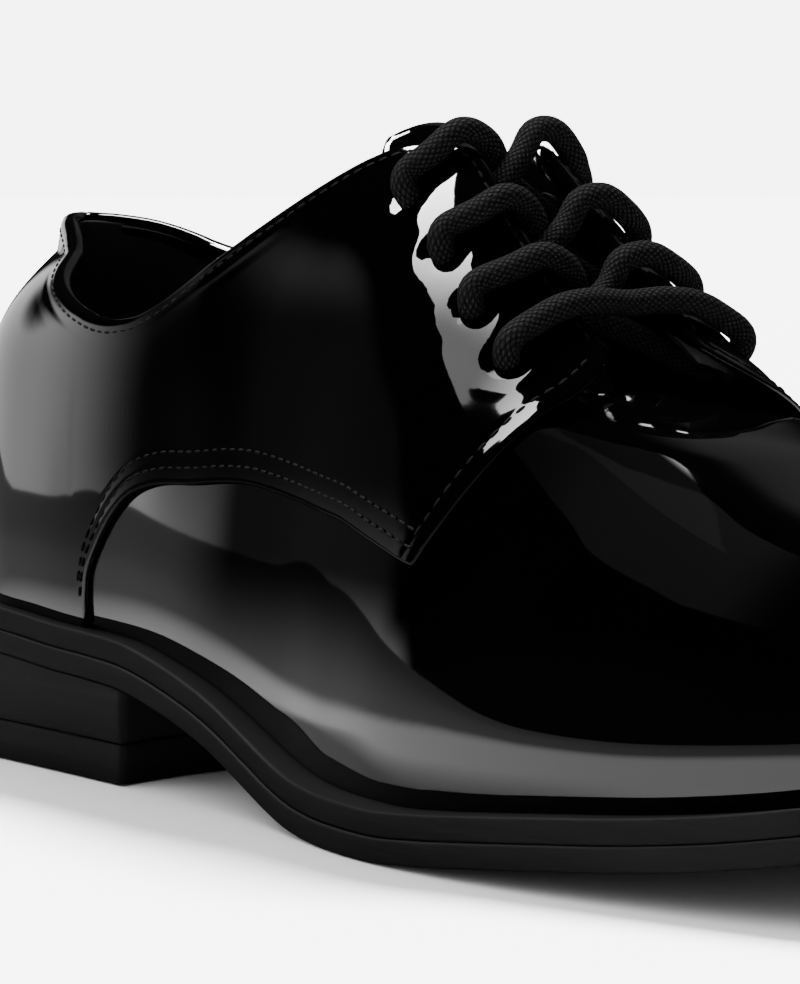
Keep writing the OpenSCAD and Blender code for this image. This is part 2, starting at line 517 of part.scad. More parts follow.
// Frames that turn as little as possible along the path
function across(v, t) = unit(v - t * (v * t));
function path_dir(p, i) = unit(p[min(len(p) - 1, i + 1)] - p[max(0, i - 1)]);
function frames(p, i = 0, v = [0.3, 0.2, 1], done = []) =
  i >= len(p) ? done
    : let (t = path_dir(p, i), u = across(v, t)) frames(p, i + 1, u, concat(done, [[u, cross(t, u)]]));
module tube(path, radius, sides) {
  f = frames(path);
  n = len(path);
  pts = [for (i = [0 : n - 1]) for (k = [0 : sides - 1])
    path[i] + radius * (cos(k * 360 / sides) * f[i][0] + sin(k * 360 / sides) * f[i][1])];
  polyhedron(pts, concat(
    [[for (k = [0 : sides - 1]) k]],
    [[for (k = [sides - 1 : -1 : 0]) (n - 1) * sides + k]],
    [for (i = [0 : n - 2]) for (k = [0 : sides - 1]) let (l = (k + 1) % sides)
      [i * sides + k, (i + 1) * sides + k, (i + 1) * sides + l, i * sides + l]]), convexity = 10);
}
module lace() {
  color("#141416")
    tube(lace_path, lace_d / 2, 8);
}
module lace_tips() {
  n = len(lace_path);
  color("#101012")
    for (e = [[lace_path[0], lace_path[1]], [lace_path[n - 1], lace_path[n - 2]]]) {
      d = unit(e[0] - e[1]);
      translate(e[0] + d * 0.05)
        rotate([0, acos(d[2]), atan2(d[1], d[0])])
          cylinder(h = 16, d = 3.2, $fn = 24);
    }
}

// Sole layers
module sock_liner() {
  color("#3a3836")
    footbed(0.5, margin_up + insole_t + gap, margin_up + insole_t + gap + sock_t);
}
module heel_pad() {
  low = margin_up + insole_t + sock_t + 2 * gap;
  color("#46423d")
    intersection() {
      footbed(3, low, low + 1.5);
      translate([px(0), -60, 0])
        cube([px(80) - px(0), 120, 120]);
    }
}
// Slab inside the lining, at a height above the midsole
module footbed(inset, low, high) {
  pts = [for (side = [-1, 1]) for (i = [0 : len(bed_steps) - 1])
    let (s = bed_steps[side < 0 ? i : len(bed_steps) - 1 - i])
    let (p = surf(s, side < 0 ? 0 : 2, inner_off + inset, low))
    [p[0], p[1]]];
  intersection() {
    band(sole_t + low, sole_t + high);
    linear_extrude(160)
      polygon(pts);
  }
}
bed_steps = concat([for (i = [0 : 8]) 4.4 + 33 * (1 - cos(i * 10))], [for (s = [40 : 8 : 240]) s],
  [for (i = [0 : 9]) 298.6 - 52 * pow(1 - i / 9, 2)]);
module insole_board() {
  color("#b58f5e")
    difference() {
      footbed(0.3 + tight * 3 + thick * 4, margin_up, margin_up + insole_t);
      heel_nail_cuts();
    }
}
filler_steps = concat([for (i = [0 : 8]) 4.2 + 32 * (1 - cos(i * 11))], [for (s = [40 : 9 : 238]) s],
  [for (i = [0 : 8]) 298.4 - 54 * pow(1 - i / 8, 2)]);
module cork_filler() {
  function at(s, side) =
    let (p = surf(s, side < 0 ? 0 : 2), c = [px(hold(s, 44, 258)), centre_y(hold(s, 44, 258)), 0])
    c + 0.66 * (p - c);
  pts = concat([for (s = filler_steps) let (p = at(s, -1)) [p[0], p[1]]],
    [for (i = [len(filler_steps) - 1 : -1 : 0]) let (p = at(filler_steps[i], 1)) [p[0], p[1]]]);
  color("#a9784a")
    difference() {
      intersection() {
        band(sole_t + 0.05, sole_t + margin_up - 0.1);
        linear_extrude(160)
          polygon(pts);
      }
      shank_shape(0.15, 2);
      heel_nail_cuts();
    }
}
module shank_shape(extra, more) {
  intersection() {
    band(sole_t + 0.05, sole_t + margin_up - 0.15 + more);
    translate([px(68) - extra, -7 - extra, 0])
      cube([px(172) - px(68) + 2 * extra, 14 + 2 * extra, 90]);
  }
}
module shank() {
  color("#8b8f94")
    shank_shape(0, 0);
}
module midsole() {
  color("#1a1a1b")
    difference() {
      layer(0.3, outsole_t, sole_t);
      heel_nail_cuts();
      toe_screw_cuts();
    }
}
module outsole() {
  color("#232325")
    difference() {
      layer(0, 0, outsole_t);
      heel_nail_cuts();
      toe_screw_cuts();
      toe_tap_shape(0.15, -2, tap_t - 0.3);
    }
}

// Heel
module heel_shape(inset, low, high) {
  translate([0, 0, low])
    linear_extrude(high - low)
      difference() {
        intersection() {
          polygon(outline(inset));
          translate([px(0) - 5, -70])
            square([px(heel_reach) - px(0) + 5, 140]);
        }
        translate([px(heel_reach) + 74, 0])
          circle(81, $fn = 180);
      }
}
module heel_block() {
  color("#1d1d1f")
    difference() {
      intersection() {
        heel_shape(0.2, lift_t, 60);
        band(-60, 0);
      }
      heel_nail_cuts();
      lift_nail_cuts();
      heel_screw_cuts();
    }
}
module top_lift() {
  color("#161617")
    difference() {
      heel_shape(0.5, 0, lift_t);
      lift_nail_cuts();
      heel_screw_cuts();
      heel_tap_shape(0.15, -1, tap_t);
    }
}
// Nails that hold the heel: headed on the insole board, driven down into the heel block
heel_nail_at = [[18, 0], [30, 13], [30, -13], [54, 13], [54, -13]];
function nail_top(s) = welt_z(s) + margin_up + insole_t;
module heel_nails() {
  color("#8b8f94")
    for (n = heel_nail_at)
      translate([px(n[0]), n[1] * kw, 0])
        heel_nail(n[0], 0);
}
module heel_nail(s, extra) {
  top = nail_top(s);
  low = lift_t + 2.5;
  rotate_extrude($fn = 24)
    polygon([[0, low - extra], [0.9 + extra, low - extra], [0.9 + extra, top - 1 - extra],
      [2.4 + extra, top - 1 - extra], [2.4 + extra, top - 0.25 + extra * 20],
      [0, top - 0.25 + extra * 20]]);
}
module heel_nail_cuts() {
  for (n = heel_nail_at)
    translate([px(n[0]), n[1] * kw, 0])
      heel_nail(n[0], 0.05);
}
// Nails of the rubber lift, heads flush with its underside
lift_nail_at = [[40, 20], [40, -20], [58, 22], [58, -22], [64, 7], [64, -7]];
module lift_nail(extra) {
  rotate_extrude($fn = 24)
    polygon([[0, 0.1 - extra * 20], [1.5 + extra, 0.1 - extra * 20], [1.5 + extra, 0.9 + extra],
      [0.7 + extra, 0.9 + extra],
      [0.7 + extra, lift_t + 4 + extra], [0, lift_t + 4 + extra]]);
}
module lift_nails() {
  color("#8b8f94")
    for (n = lift_nail_at)
      translate([px(n[0]), n[1] * kw, 0])
        lift_nail(0);
}
module lift_nail_cuts() {
  for (n = lift_nail_at)
    translate([px(n[0]), n[1] * kw, 0])
      lift_nail(0.05);
}

// Heel tap: a crescent set flush into the back of the lift
module heel_tap_shape(extra, low, high) {
  translate([0, 0, low])
    linear_extrude(high - low)
      difference() {
        intersection() {
          polygon(outline(5.5 - extra));
          translate([px(0), -70])
            square([px(34) - px(0) + extra, 140]);
        }
        translate([px(36), 0])
          circle(16 - extra, $fn = 72);
      }
}
heel_screw_at = [[12.5, 0], [24, 20], [24, -20]];
module tap_screw(extra, length) {
  rotate_extrude($fn = 32)
    polygon([[0, -extra * 20], [tap_head_d / 2 + extra, -extra * 20], [tap_head_d / 2 + extra, 0.3],
      [tap_screw_d / 2 + extra, 1.8], [tap_screw_d / 2 + extra, length + extra], [0, length + extra]]);
}
module heel_screw_cuts() {
  for (n = heel_screw_at)
    translate([px(n[0]), n[1] * kw, 0.05])
      tap_screw(0.05, lift_t + 3);
}
module heel_tap_screws() {
  color("#9a9da1")
    for (n = heel_screw_at)
      translate([px(n[0]), n[1] * kw, 0.05])
        tap_screw(0, lift_t + 3);
}
module heel_tap() {
  color("#a8abaf")
    difference() {
      heel_tap_shape(0, 0, tap_t - 0.05);
      heel_screw_cuts();
    }
}
// Toe tap: a wider crescent under the tip, 0.3 proud of the outsole
module toe_tap_shape(extra, low, high) {
  intersection() {
    band(low, high);
    linear_extrude(80)
      difference() {
        intersection() {
          polygon(outline(4.5 - extra));
          translate([px(304 - 4.5 - toe_tap_w - 12) - extra, -70])
            square([90, 140]);
        }
        translate([px(304 - 4.5) - toe_tap_w - 44, centre_y(290)])
          circle(44 - extra, $fn = 120);
      }
  }
}
toe_screw_at = [[293, 7], [284, 24], [285, -13], [272, 31], [274, -22]];
module at_toe_screw(i) {
  s = 304 - 4.5 - (toe_tap_w / 22) * (299.5 - toe_screw_at[i][0]);
  translate([px(s), toe_screw_at[i][1] * kw, sole_z(s) - 0.2])
    rotate([0, -atan((sole_z(s + 3) - sole_z(s - 3)) / (6 * kx)), 0])
      children();
}
module toe_screw_cuts() {
  for (i = [0 : 4])
    at_toe_screw(i)
      tap_screw(0.05, outsole_t + 2.6);
}
module toe_tap_screws() {
  color("#9a9da1")
    for (i = [0 : 4])
      at_toe_screw(i)
        tap_screw(0, outsole_t + 2.6);
}
module toe_tap() {
  color("#a8abaf")
    difference() {
      toe_tap_shape(0, -0.3, tap_t - 0.35);
      toe_screw_cuts();
    }
}

quarter_outer_side();
quarter_inner_side();
vamp();
tongue();
tongue_padding();
tongue_lining();
lace();
lace_tips();
blind_eyelets();
eyelet_stays();
collar_padding();
quarter_lining();
vamp_lining();
toe_puff();
heel_counter();
back_seam_tape();
sock_liner();
heel_pad();
insole_board();
cork_filler();
shank();
midsole();
outsole();
heel_block();
top_lift();
heel_nails();
lift_nails();
toe_tap();
toe_tap_screws();
heel_tap();
heel_tap_screws();
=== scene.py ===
import bmesh
import bpy
import math
import numpy as np
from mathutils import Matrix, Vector


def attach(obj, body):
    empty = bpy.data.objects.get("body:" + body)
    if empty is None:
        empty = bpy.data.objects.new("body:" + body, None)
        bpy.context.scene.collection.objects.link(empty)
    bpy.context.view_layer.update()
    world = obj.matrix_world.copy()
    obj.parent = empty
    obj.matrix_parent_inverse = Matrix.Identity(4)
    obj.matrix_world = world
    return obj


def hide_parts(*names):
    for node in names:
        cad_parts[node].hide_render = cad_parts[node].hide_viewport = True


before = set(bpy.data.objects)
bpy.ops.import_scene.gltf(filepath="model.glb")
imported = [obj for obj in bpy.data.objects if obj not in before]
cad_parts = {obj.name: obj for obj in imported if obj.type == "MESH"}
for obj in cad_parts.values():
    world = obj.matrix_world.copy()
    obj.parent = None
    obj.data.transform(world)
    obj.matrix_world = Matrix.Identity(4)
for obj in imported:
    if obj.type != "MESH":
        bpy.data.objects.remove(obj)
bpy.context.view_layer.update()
print("frame loaded:", len(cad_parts), "nodes")

mm = 0.001
soleLength = 304.0


# the shape of the shoe, in millimetres, s from the back of the heel, q round the foot

outerWidth = [[0, 33], [30, 33], [55, 34], [80, 35.4], [110, 37.5], [130, 40.5], [150, 45.4], [170, 49.6],
              [190, 50.8], [210, 49.6], [230, 46.6], [250, 42.4], [270, 38], [290, 34], [304, 31]]
innerWidth = [[0, 33], [30, 33], [55, 33.5], [80, 33.5], [110, 31], [135, 33], [160, 40], [185, 47.5],
              [210, 51], [230, 50], [250, 46.5], [270, 42], [290, 37.5], [304, 34]]
toeSwing = [[0, 0], [200, 0], [250, 1], [285, 4], [304, 7]]
archHeight = [[0, 20.5], [35, 19.3], [55, 18], [70, 17.4], [82, 16.5], [96, 13.8], [110, 10.2], [125, 5.4],
              [135, 2.6], [146, 0.8], [160, 0], [304, 0]]
toeHeight = [[0, 0], [175, 0], [188, 0.8], [200, 1.9], [215, 3.3], [231, 4.7], [248, 6.7], [262, 9],
             [285, 13.2], [304, 17]]
crestHeight = [[0, 150], [60, 143], [90, 136], [120, 125], [150, 111.5], [165, 97.5], [180, 84.5],
               [200, 71], [225, 60.5], [250, 54], [270, 50.5], [285, 48], [304, 45]]
squareness = [[0, 1.9], [120, 1.9], [150, 2], [180, 2.35], [210, 2.3], [304, 2.3]]
crestLean = [[0, 0], [90, 0], [150, -3.2], [190, -3.2], [230, -1], [270, 0], [304, 0]]
heelCurve = [[0, 0], [12, -2.2], [25, -2.6], [45, -2.4], [60, -0.4], [75, 2.6], [100, 4.2], [150, 4.6]]
collarLean = [[4, 2.5], [20, 5.2], [45, 4], [65, 2], [95, 0]]
collarHeight = [[4, 98.3], [12, 96.9], [24, 92.5], [45, 84], [60, 80.5], [70, 80.4], [80, 82.6], [92, 88.3],
                [105, 95], [120, 102.5], [132, 108], [141, 110.5], [147, 110]]
weltOut = [[0, 1.6], [80, 1.8], [110, 2.4], [150, 3.6], [190, 4.2], [304, 4.2]]
vampRest = [[0, 200], [170, 90], [180, 72], [188, 67.5], [200, 65], [215, 63], [235, 60], [304, 60]]
heelRound, toeRound, backIn, toeIn = 34.0, 62.0, 4.0, 5.0
lastS = 304.0 - toeIn
soleThick = 8.0


def along(table, x):  # smooth value of a table at x
    t = np.asarray(table, float)
    xs, ys = t[:, 0], t[:, 1]
    x = np.clip(np.asarray(x, float), xs[0], xs[-1])
    i = np.clip(np.searchsorted(xs, x, side="right") - 1, 0, len(xs) - 2)
    k = np.arange(len(xs))
    lo, hi = np.maximum(0, k - 1), np.minimum(len(xs) - 1, k + 1)
    m = (ys[hi] - ys[lo]) / (xs[hi] - xs[lo])
    h = xs[i + 1] - xs[i]
    u = (x - xs[i]) / h
    return ((2 * u**3 - 3 * u**2 + 1) * ys[i] + (u**3 - 2 * u**2 + u) * m[i] * h
            + (3 * u**2 - 2 * u**3) * ys[i + 1] + (u**3 - u**2) * m[i + 1] * h)


def stepped(values, x):  # the same for a list that is numbered 0, 1, 2, ...
    return along([[i, v] for i, v in enumerate(values)], x)


def roundedEnds(s):
    a = np.sqrt(np.clip(1 - (np.clip(heelRound - s, 0, None) / heelRound) ** 2, 0, 1))
    b = np.sqrt(np.clip(1 - np.clip((s - 304 + toeRound) / toeRound, 0, 1) ** 3, 0, 1))
    return a * b


def lengthX(s):
    return s - soleLength / 2


def soleHeight(s):
    return along(archHeight, s) + along(toeHeight, s)


def weltHeight(s):
    return soleHeight(s) + soleThick


def halfWidth(s, side):
    return np.where(side < 0, along(outerWidth, s), along(innerWidth, s))


def wrapLength(s):
    return (s - backIn) / (304 - backIn - toeIn) * 304


def surfacePoint(s, q, depth=0.0, up=0.0):
    s, q, depth, up = np.broadcast_arrays(np.asarray(s, float), np.asarray(q, float), depth, up)
    side = np.where(q <= 1, -1.0, 1.0)
    th = np.where(q <= 1, q, 2 - q) * math.pi / 2
    wrapped = np.clip(wrapLength(s), 0, 304)
    c = roundedEnds(wrapped)
    w = np.clip(halfWidth(s, side) - along(weltOut, s) - depth, 0, None) * c
    e = 2 / along(squareness, s)
    zf = weltHeight(s) + up
    drop = np.sqrt(np.clip(1 - np.clip((wrapLength(s) - 256) / 48, 0, 1) ** 2.6, 0, 1))
    h = np.clip(along(crestHeight, s) - depth - zf, 0, None) * drop
    sn, cs = np.clip(np.sin(th), 0, 1), np.clip(np.cos(th), 0, 1)
    z = zf + h * sn**e
    zz = z - weltHeight(s)
    g = np.clip((z - 64) / 26, 0, 1.03) ** 3
    f = np.clip(1 - (s - backIn) / 62, 0, 1)
    tuck = 1.6 * np.clip(1 - zz / 14, 0, 1) ** 2
    y = side * (w * cs**e - tuck * c) * (1 - 0.42 * g * f**1.2) + g * along(collarLean, s)
    b = np.clip(1 - (s - backIn) / heelRound, 0, 1)
    t = np.clip((s - lastS + toeRound) / toeRound, 0, 1)
    curve = along(heelCurve, zz) * np.clip(1 - (s - backIn) / 60, 0, 1) ** 2
    x = lengthX(s) + depth * b - depth * t * t + curve
    return np.stack([x, y + along(toeSwing, s) + along(crestLean, s) * sn * sn, z], -1)


def roundAt(s, z, side):  # q of the point at height z
    share = np.clip((z - weltHeight(s)) / (along(crestHeight, s) - weltHeight(s)), 0, 1)
    r = share ** (along(squareness, s) / 2)
    a = np.arcsin(r) / (math.pi / 2)
    return a if side < 0 else 2 - a


def unit(v):
    v = np.asarray(v, float)
    return v / np.maximum(np.linalg.norm(v, axis=-1, keepdims=True), 1e-12)


def outward(s, q):
    s, q = np.asarray(s, float), np.asarray(q, float)
    a = surfacePoint(s + 0.5, q) - surfacePoint(s - 0.5, q)
    b = surfacePoint(s, q + 0.01) - surfacePoint(s, q - 0.01)
    return unit(np.cross(a, b))


def under(s, q, depth):
    return surfacePoint(s, q) - np.asarray(depth, float)[..., None] * outward(s, q)


def vampPoint(s, q, depth=0.0, up=0.0):
    p = surfacePoint(s, q, depth, up)
    k = along(vampRest, s)
    z = p[..., 2] + depth
    p[..., 2] = np.where(z <= k, z, k + (z - k) * (0.35 + 0.65 * np.exp((k - z) / 4))) - depth
    return p


def ripple(p, size, seed):  # gentle unevenness of pulled leather, the same on every run
    rng = np.random.default_rng(seed)
    total = np.zeros(p.shape[:-1])
    for _ in range(14):
        k = unit(rng.normal(size=3)) * rng.uniform(0.6, 1.5) * 2 * math.pi / size
        total += np.sin(p @ k + rng.uniform(0, 2 * math.pi))
    return total / 3.7


# mesh helpers

def newPiece(name, verts, faces, material, smooth=True, uv=None):
    mesh = bpy.data.meshes.new(name)
    mesh.from_pydata((np.asarray(verts, float) * mm).tolist(), [], [list(map(int, f)) for f in faces])
    mesh.polygons.foreach_set("use_smooth", [smooth] * len(mesh.polygons))
    if uv is not None:
        layer = mesh.uv_layers.new(name="UVMap")
        layer.data.foreach_set("uv", np.asarray(uv, np.float32).ravel())  # one pair per face corner
    mesh.update()
    mesh.validate()
    piece = bpy.data.objects.new(name, mesh)
    bpy.context.collection.objects.link(piece)
    mesh.materials.append(material)
    return piece


def gridQuads(n, m, keep=None):
    quads = []
    for i in range(n - 1):
        for j in range(m - 1):
            if keep is None or keep(i, j):
                quads.append((i * m + j, (i + 1) * m + j, (i + 1) * m + j + 1, i * m + j + 1))
    return quads


def dropUnused(verts, faces):
    used = sorted({v for f in faces for v in f})
    where = {v: i for i, v in enumerate(used)}
    return verts[used], [[where[v] for v in f] for f in faces]


def closedSheet(outer, inner, quads, rimSteps=5):  # two skins joined by a rounded rim
    n = len(outer)
    mid = quads[len(quads) // 2]
    ahead = np.cross(outer[mid[1]] - outer[mid[0]], outer[mid[3]] - outer[mid[0]])
    if np.dot(ahead, outer[mid[0]] - inner[mid[0]]) < 0:
        quads = [q[::-1] for q in quads]
    normals = np.zeros((n, 3))
    edges = set()
    for q in quads:
        c = np.cross(outer[q[2]] - outer[q[0]], outer[q[3]] - outer[q[1]])
        for k in range(4):
            normals[q[k]] += c
            edges.add((q[k], q[(k + 1) % 4]))
    normals = unit(normals)
    border = [e for e in edges if (e[1], e[0]) not in edges]
    away = {}
    for a, b in sorted(border):
        t = np.cross(unit(outer[b] - outer[a]), unit(normals[a] + normals[b]))
        away[a] = away.get(a, 0) + t
        away[b] = away.get(b, 0) + t
    verts = [outer, inner]
    index = {}
    count = 2 * n
    extra = []
    for v in sorted(away):
        half = (outer[v] - inner[v]) / 2
        middle = (outer[v] + inner[v]) / 2
        size = np.linalg.norm(half)
        t = away[v] - half * np.dot(away[v], half) / max(size * size, 1e-9)
        t = unit(t) * size
        for k in range(1, rimSteps):
            a = math.pi * k / rimSteps
            extra.append(middle + half * math.cos(a) + t * math.sin(a))
            index[(v, k)] = count
            count += 1
        index[(v, 0)] = v
        index[(v, rimSteps)] = v + n
    if extra:
        verts.append(np.array(extra))
    faces = [list(q) for q in quads] + [[v + n for v in q[::-1]] for q in quads]
    for a, b in sorted(border):
        for k in range(rimSteps):
            faces.append([index[(b, k)], index[(a, k)], index[(a, k + 1)], index[(b, k + 1)]])
    return dropUnused(np.concatenate(verts), faces)


def closeDoubles(piece, distance=1e-6):
    bm = bmesh.new()
    bm.from_mesh(piece.data)
    bmesh.ops.remove_doubles(bm, verts=bm.verts, dist=distance)
    bmesh.ops.dissolve_degenerate(bm, edges=bm.edges, dist=1e-7)
    bmesh.ops.recalc_face_normals(bm, faces=bm.faces)
    for f in bm.faces:
        f.smooth = True
    bm.to_mesh(piece.data)
    bm.free()


# finishes

class Wire:  # a shader value that can be used in plain arithmetic
    def __init__(self, finish, socket):
        self.finish, self.socket = finish, socket

    def calc(self, operation, a, b=None):
        values = {0: a} if b is None else {0: a, 1: b}
        return self.finish.add("ShaderNodeMath", {"operation": operation}, values)

    def __add__(self, other):
        return self.calc("ADD", self, other)

    def __radd__(self, other):
        return self.calc("ADD", other, self)

    def __sub__(self, other):
        return self.calc("SUBTRACT", self, other)

    def __rsub__(self, other):
        return self.calc("SUBTRACT", other, self)

    def __mul__(self, other):
        return self.calc("MULTIPLY", self, other)

    def __rmul__(self, other):
        return self.calc("MULTIPLY", other, self)

    def __pow__(self, other):
        return self.calc("POWER", self, other)

    def above(self, other):
        return self.calc("GREATER_THAN", self, other)

    def sine(self):
        return self.calc("SINE", self)

    def size(self):
        return self.calc("ABSOLUTE", self)

    def part(self):
        return self.calc("FRACT", self)

    def whole(self):
        return self.calc("FLOOR", self)


class Finish:  # one material or sky and its nodes
    def __init__(self, name, owners=None, ending="ShaderNodeOutputMaterial"):
        owners = bpy.data.materials if owners is None else owners
        self.material = owners.new(name)
        self.material.use_nodes = True
        self.tree = self.material.node_tree
        self.tree.nodes.clear()
        self.out = self.tree.nodes.new(ending)
        self.count = 0

    def add(self, kind, settings=None, values=None, output=0):
        node = self.tree.nodes.new(kind)
        node.location = (-1400 + 180 * (self.count % 7), 500 - 170 * (self.count // 7))
        self.count += 1
        for key, value in (settings or {}).items():
            setattr(node, key, value)
        for key, value in (values or {}).items():
            if isinstance(value, Wire):
                self.tree.links.new(value.socket, node.inputs[key])
            else:
                node.inputs[key].default_value = value
        return Wire(self, node.outputs[output])

    def place(self):
        return self.add("ShaderNodeTexCoord", output="Object")

    def axes(self, vector):
        node = self.add("ShaderNodeSeparateXYZ", {}, {"Vector": vector}).socket.node
        return [Wire(self, node.outputs[k]) for k in range(3)]

    def threadPlace(self):
        return self.add("ShaderNodeUVMap", {"uv_map": "UVMap"})

    def noise(self, scale, detail=3.0, rough=0.5, where=None, stretch=None):
        where = where or self.place()
        if stretch:
            where = self.add("ShaderNodeMapping", {}, {"Vector": where, "Scale": stretch})
        values = {"Vector": where, "Scale": scale, "Detail": detail, "Roughness": rough}
        return self.add("ShaderNodeTexNoise", {}, values)

    def fade(self, value, start, end):  # goes softly from 0 at start to 1 at end
        values = {"Value": value, "From Min": start, "From Max": end}
        return self.add("ShaderNodeMapRange", {"interpolation_type": "SMOOTHSTEP"}, values)

    def blend(self, share, a, b):
        return self.add("ShaderNodeMix", {"data_type": "RGBA"}, {0: share, 6: (*a, 1), 7: (*b, 1)}, output=2)

    def shade(self, colour, roughness, bumps=(), **fixed):
        values = {"Base Color": colour, "Roughness": roughness}
        values.update({k.replace("_", " "): v for k, v in fixed.items()})
        normal = None
        for height, strength, distance in bumps:
            links = {"Height": height, "Strength": strength, "Distance": distance}
            if normal is not None:
                links["Normal"] = normal
            normal = self.add("ShaderNodeBump", {}, links)
        if normal is not None:
            values["Normal"] = normal
        shader = self.add("ShaderNodeBsdfPrincipled", {}, values)
        self.tree.links.new(shader.socket, self.out.inputs["Surface"])
        return self.material


patentFeel = {"dark": (0.0001, 0.0001, 0.0001), "light": (0.0004, 0.0004, 0.00045),
              "rough": 0.5, "smear": 0.2, "grain": 0.045, "wave": 0.05,
              "lacquer": 1.75, "lacquerRough": 0.035}
# painted shade: boxes where the lacquer shines less, so these parts reflect almost nothing and stay dark: x
# from, to, y from, to, z from, to in mm, soft edge in mm, how much less
paintedShadeSides = [[-92, 50, -80, -6, 34, 104, 24, 0.98]]
paintedShadeVamp = [[20, 150, -80, -15.5, 34, 85, 4, 0.999], [90, 150, -80, 20, 30, 85, 8, 0.999],
              [-50, 46, -80, -16, 31, 66, 12, 0.97]]


def patentLeather(name, dullParts, feel=patentFeel):
    f = Finish(name)
    cloud = f.noise(38, 3, 0.55)
    pebble = f.noise(1500, 2, 0.5)
    wave = f.noise(110, 2, 0.4)
    smear = f.noise(22, 4, 0.6, stretch=(1, 1, 2.2))
    xyz = f.axes(f.place())
    shine = None
    # painted shade: inside each box the lacquer coat is weakened, so that part of the surface reflects
    # almost nothing
    for part in dullParts:
        soft, dull = part[6] * mm, None
        for axis, low, high in zip(xyz, part[0:6:2], part[1:6:2]):
            for edge, way in ((low, 1), (high, -1)):
                step = f.fade(axis, edge * mm - way * soft, edge * mm + way * soft)
                dull = step if dull is None else dull * step
        left = 1.0 - dull * part[7]
        shine = left if shine is None else shine * left
    rough = feel["rough"] + smear * feel["smear"]
    return f.shade(f.blend(cloud, feel["dark"], feel["light"]), rough,
                   [(wave, feel["wave"], 0.001), (pebble, feel["grain"], 0.0002)],
                   Coat_Weight=1.0 if shine is None else shine, Coat_Roughness=feel["lacquerRough"],
                   Coat_IOR=feel["lacquer"], Specular_IOR_Level=0.0)


def softLeather(name, dark, light, rough=0.6, grain=900, depth=0.35):
    f = Finish(name)
    cells = f.add("ShaderNodeTexVoronoi", {"feature": "DISTANCE_TO_EDGE"},
                  {"Vector": f.place(), "Scale": grain})
    cloud = f.noise(60, 4, 0.6)
    fine = f.noise(2500, 3, 0.6)
    return f.shade(f.blend(cloud, dark, light), rough - 0.12 + cloud * 0.24,
                   [(cells, depth, 0.0002), (fine, 0.2, 0.0001)], Specular_IOR_Level=0.04)


def edgeLeather(name, dark, light, rough=0.55, lines=0.3, paintedShadeTop=0.0):
    f = Finish(name)
    strata = f.noise(55, 5, 0.65, stretch=(0.35, 0.35, 14))
    pores = f.noise(1400, 3, 0.65)
    patch = f.noise(30, 4, 0.6)
    tone = strata * 0.45 + patch * 0.3 + pores * 0.25
    # painted shade: faces that look upward, such as the welt top between the upper and the sole edge, are
    # darkened almost to black
    if paintedShadeTop:
        facing = f.axes(f.add("ShaderNodeTexCoord", output="Normal"))[2]
        tone = tone * (1.0 - facing.above(0.6) * paintedShadeTop)
    return f.shade(f.blend(tone, dark, light), rough - 0.1 + patch * 0.22,
                   [(strata, lines, 0.0004), (pores, 0.3, 0.00012)], Specular_IOR_Level=0.015)


def braidedCotton(name="braidedCotton"):
    f = Finish(name)
    u, v, _ = f.axes(f.threadPlace())  # u runs along the lace in mm, v once round it
    a = u * 0.8 + v * 14.0
    b = u * 0.8 - v * 14.0
    fa, fb = a.part(), b.part()
    over = ((a.whole() + b.whole()) * 0.5).part().above(0.25)
    bump = (fa * math.pi).sine() * (fb * math.pi).sine()
    threadA, threadB = (fa * math.pi * 4).sine().size(), (fb * math.pi * 4).sine().size()
    thread = threadA * over + threadB * (1.0 - over)
    fuzz = f.noise(3000, 3, 0.7)
    # painted shade and highlight: the colour follows the weave's relief, lighter on the raised crown of each
    # strand and darker in the grooves between them; fuzz adds random tone
    tone = (bump * 0.7 + thread * 0.3) ** 1.8 + fuzz * 0.12
    return f.shade(f.blend(tone, (0.0001, 0.0001, 0.0001), (0.011, 0.011, 0.0112)), 0.62 + fuzz * 0.25,
                   [(bump, 1.0, 0.0005), (thread, 0.6, 0.00015), (fuzz, 0.25, 0.0001)],
                   Specular_IOR_Level=0.02)


def stitchThread(name="stitchThread"):
    f = Finish(name)
    twist = f.add("ShaderNodeTexWave", {"wave_type": "BANDS", "bands_direction": "DIAGONAL"},
                  {"Vector": f.place(), "Scale": 1100.0, "Distortion": 1.0})
    # painted shade and highlight: the twist bands that make the bump also make the thread lighter on its
    # ridges and darker in its grooves
    return f.shade(f.blend(twist, (0.0004, 0.0004, 0.0004), (0.004, 0.004, 0.0042)), 0.6 + twist * 0.2,
                   [(twist, 0.5, 0.0001)], Specular_IOR_Level=0.02)


def metal(name, dark, light, rough=0.32, scratch=0.2):
    f = Finish(name)
    lines = f.noise(260, 4, 0.6, stretch=(1, 9, 1))
    patch = f.noise(70, 4, 0.6)
    return f.shade(f.blend(patch, dark, light), rough - 0.08 + lines * 0.22,
                   [(lines, scratch, 0.00008)], Metallic=0.8)


def plainFibre(name, dark, light, rough=0.8, scale=700.0, depth=0.4):
    f = Finish(name)
    speck = f.noise(scale, 4, 0.7)
    patch = f.noise(50, 3, 0.6)
    tone = speck * 0.6 + patch * 0.4
    return f.shade(f.blend(tone, dark, light), rough - 0.1 + patch * 0.2, [(speck, depth, 0.0003)])


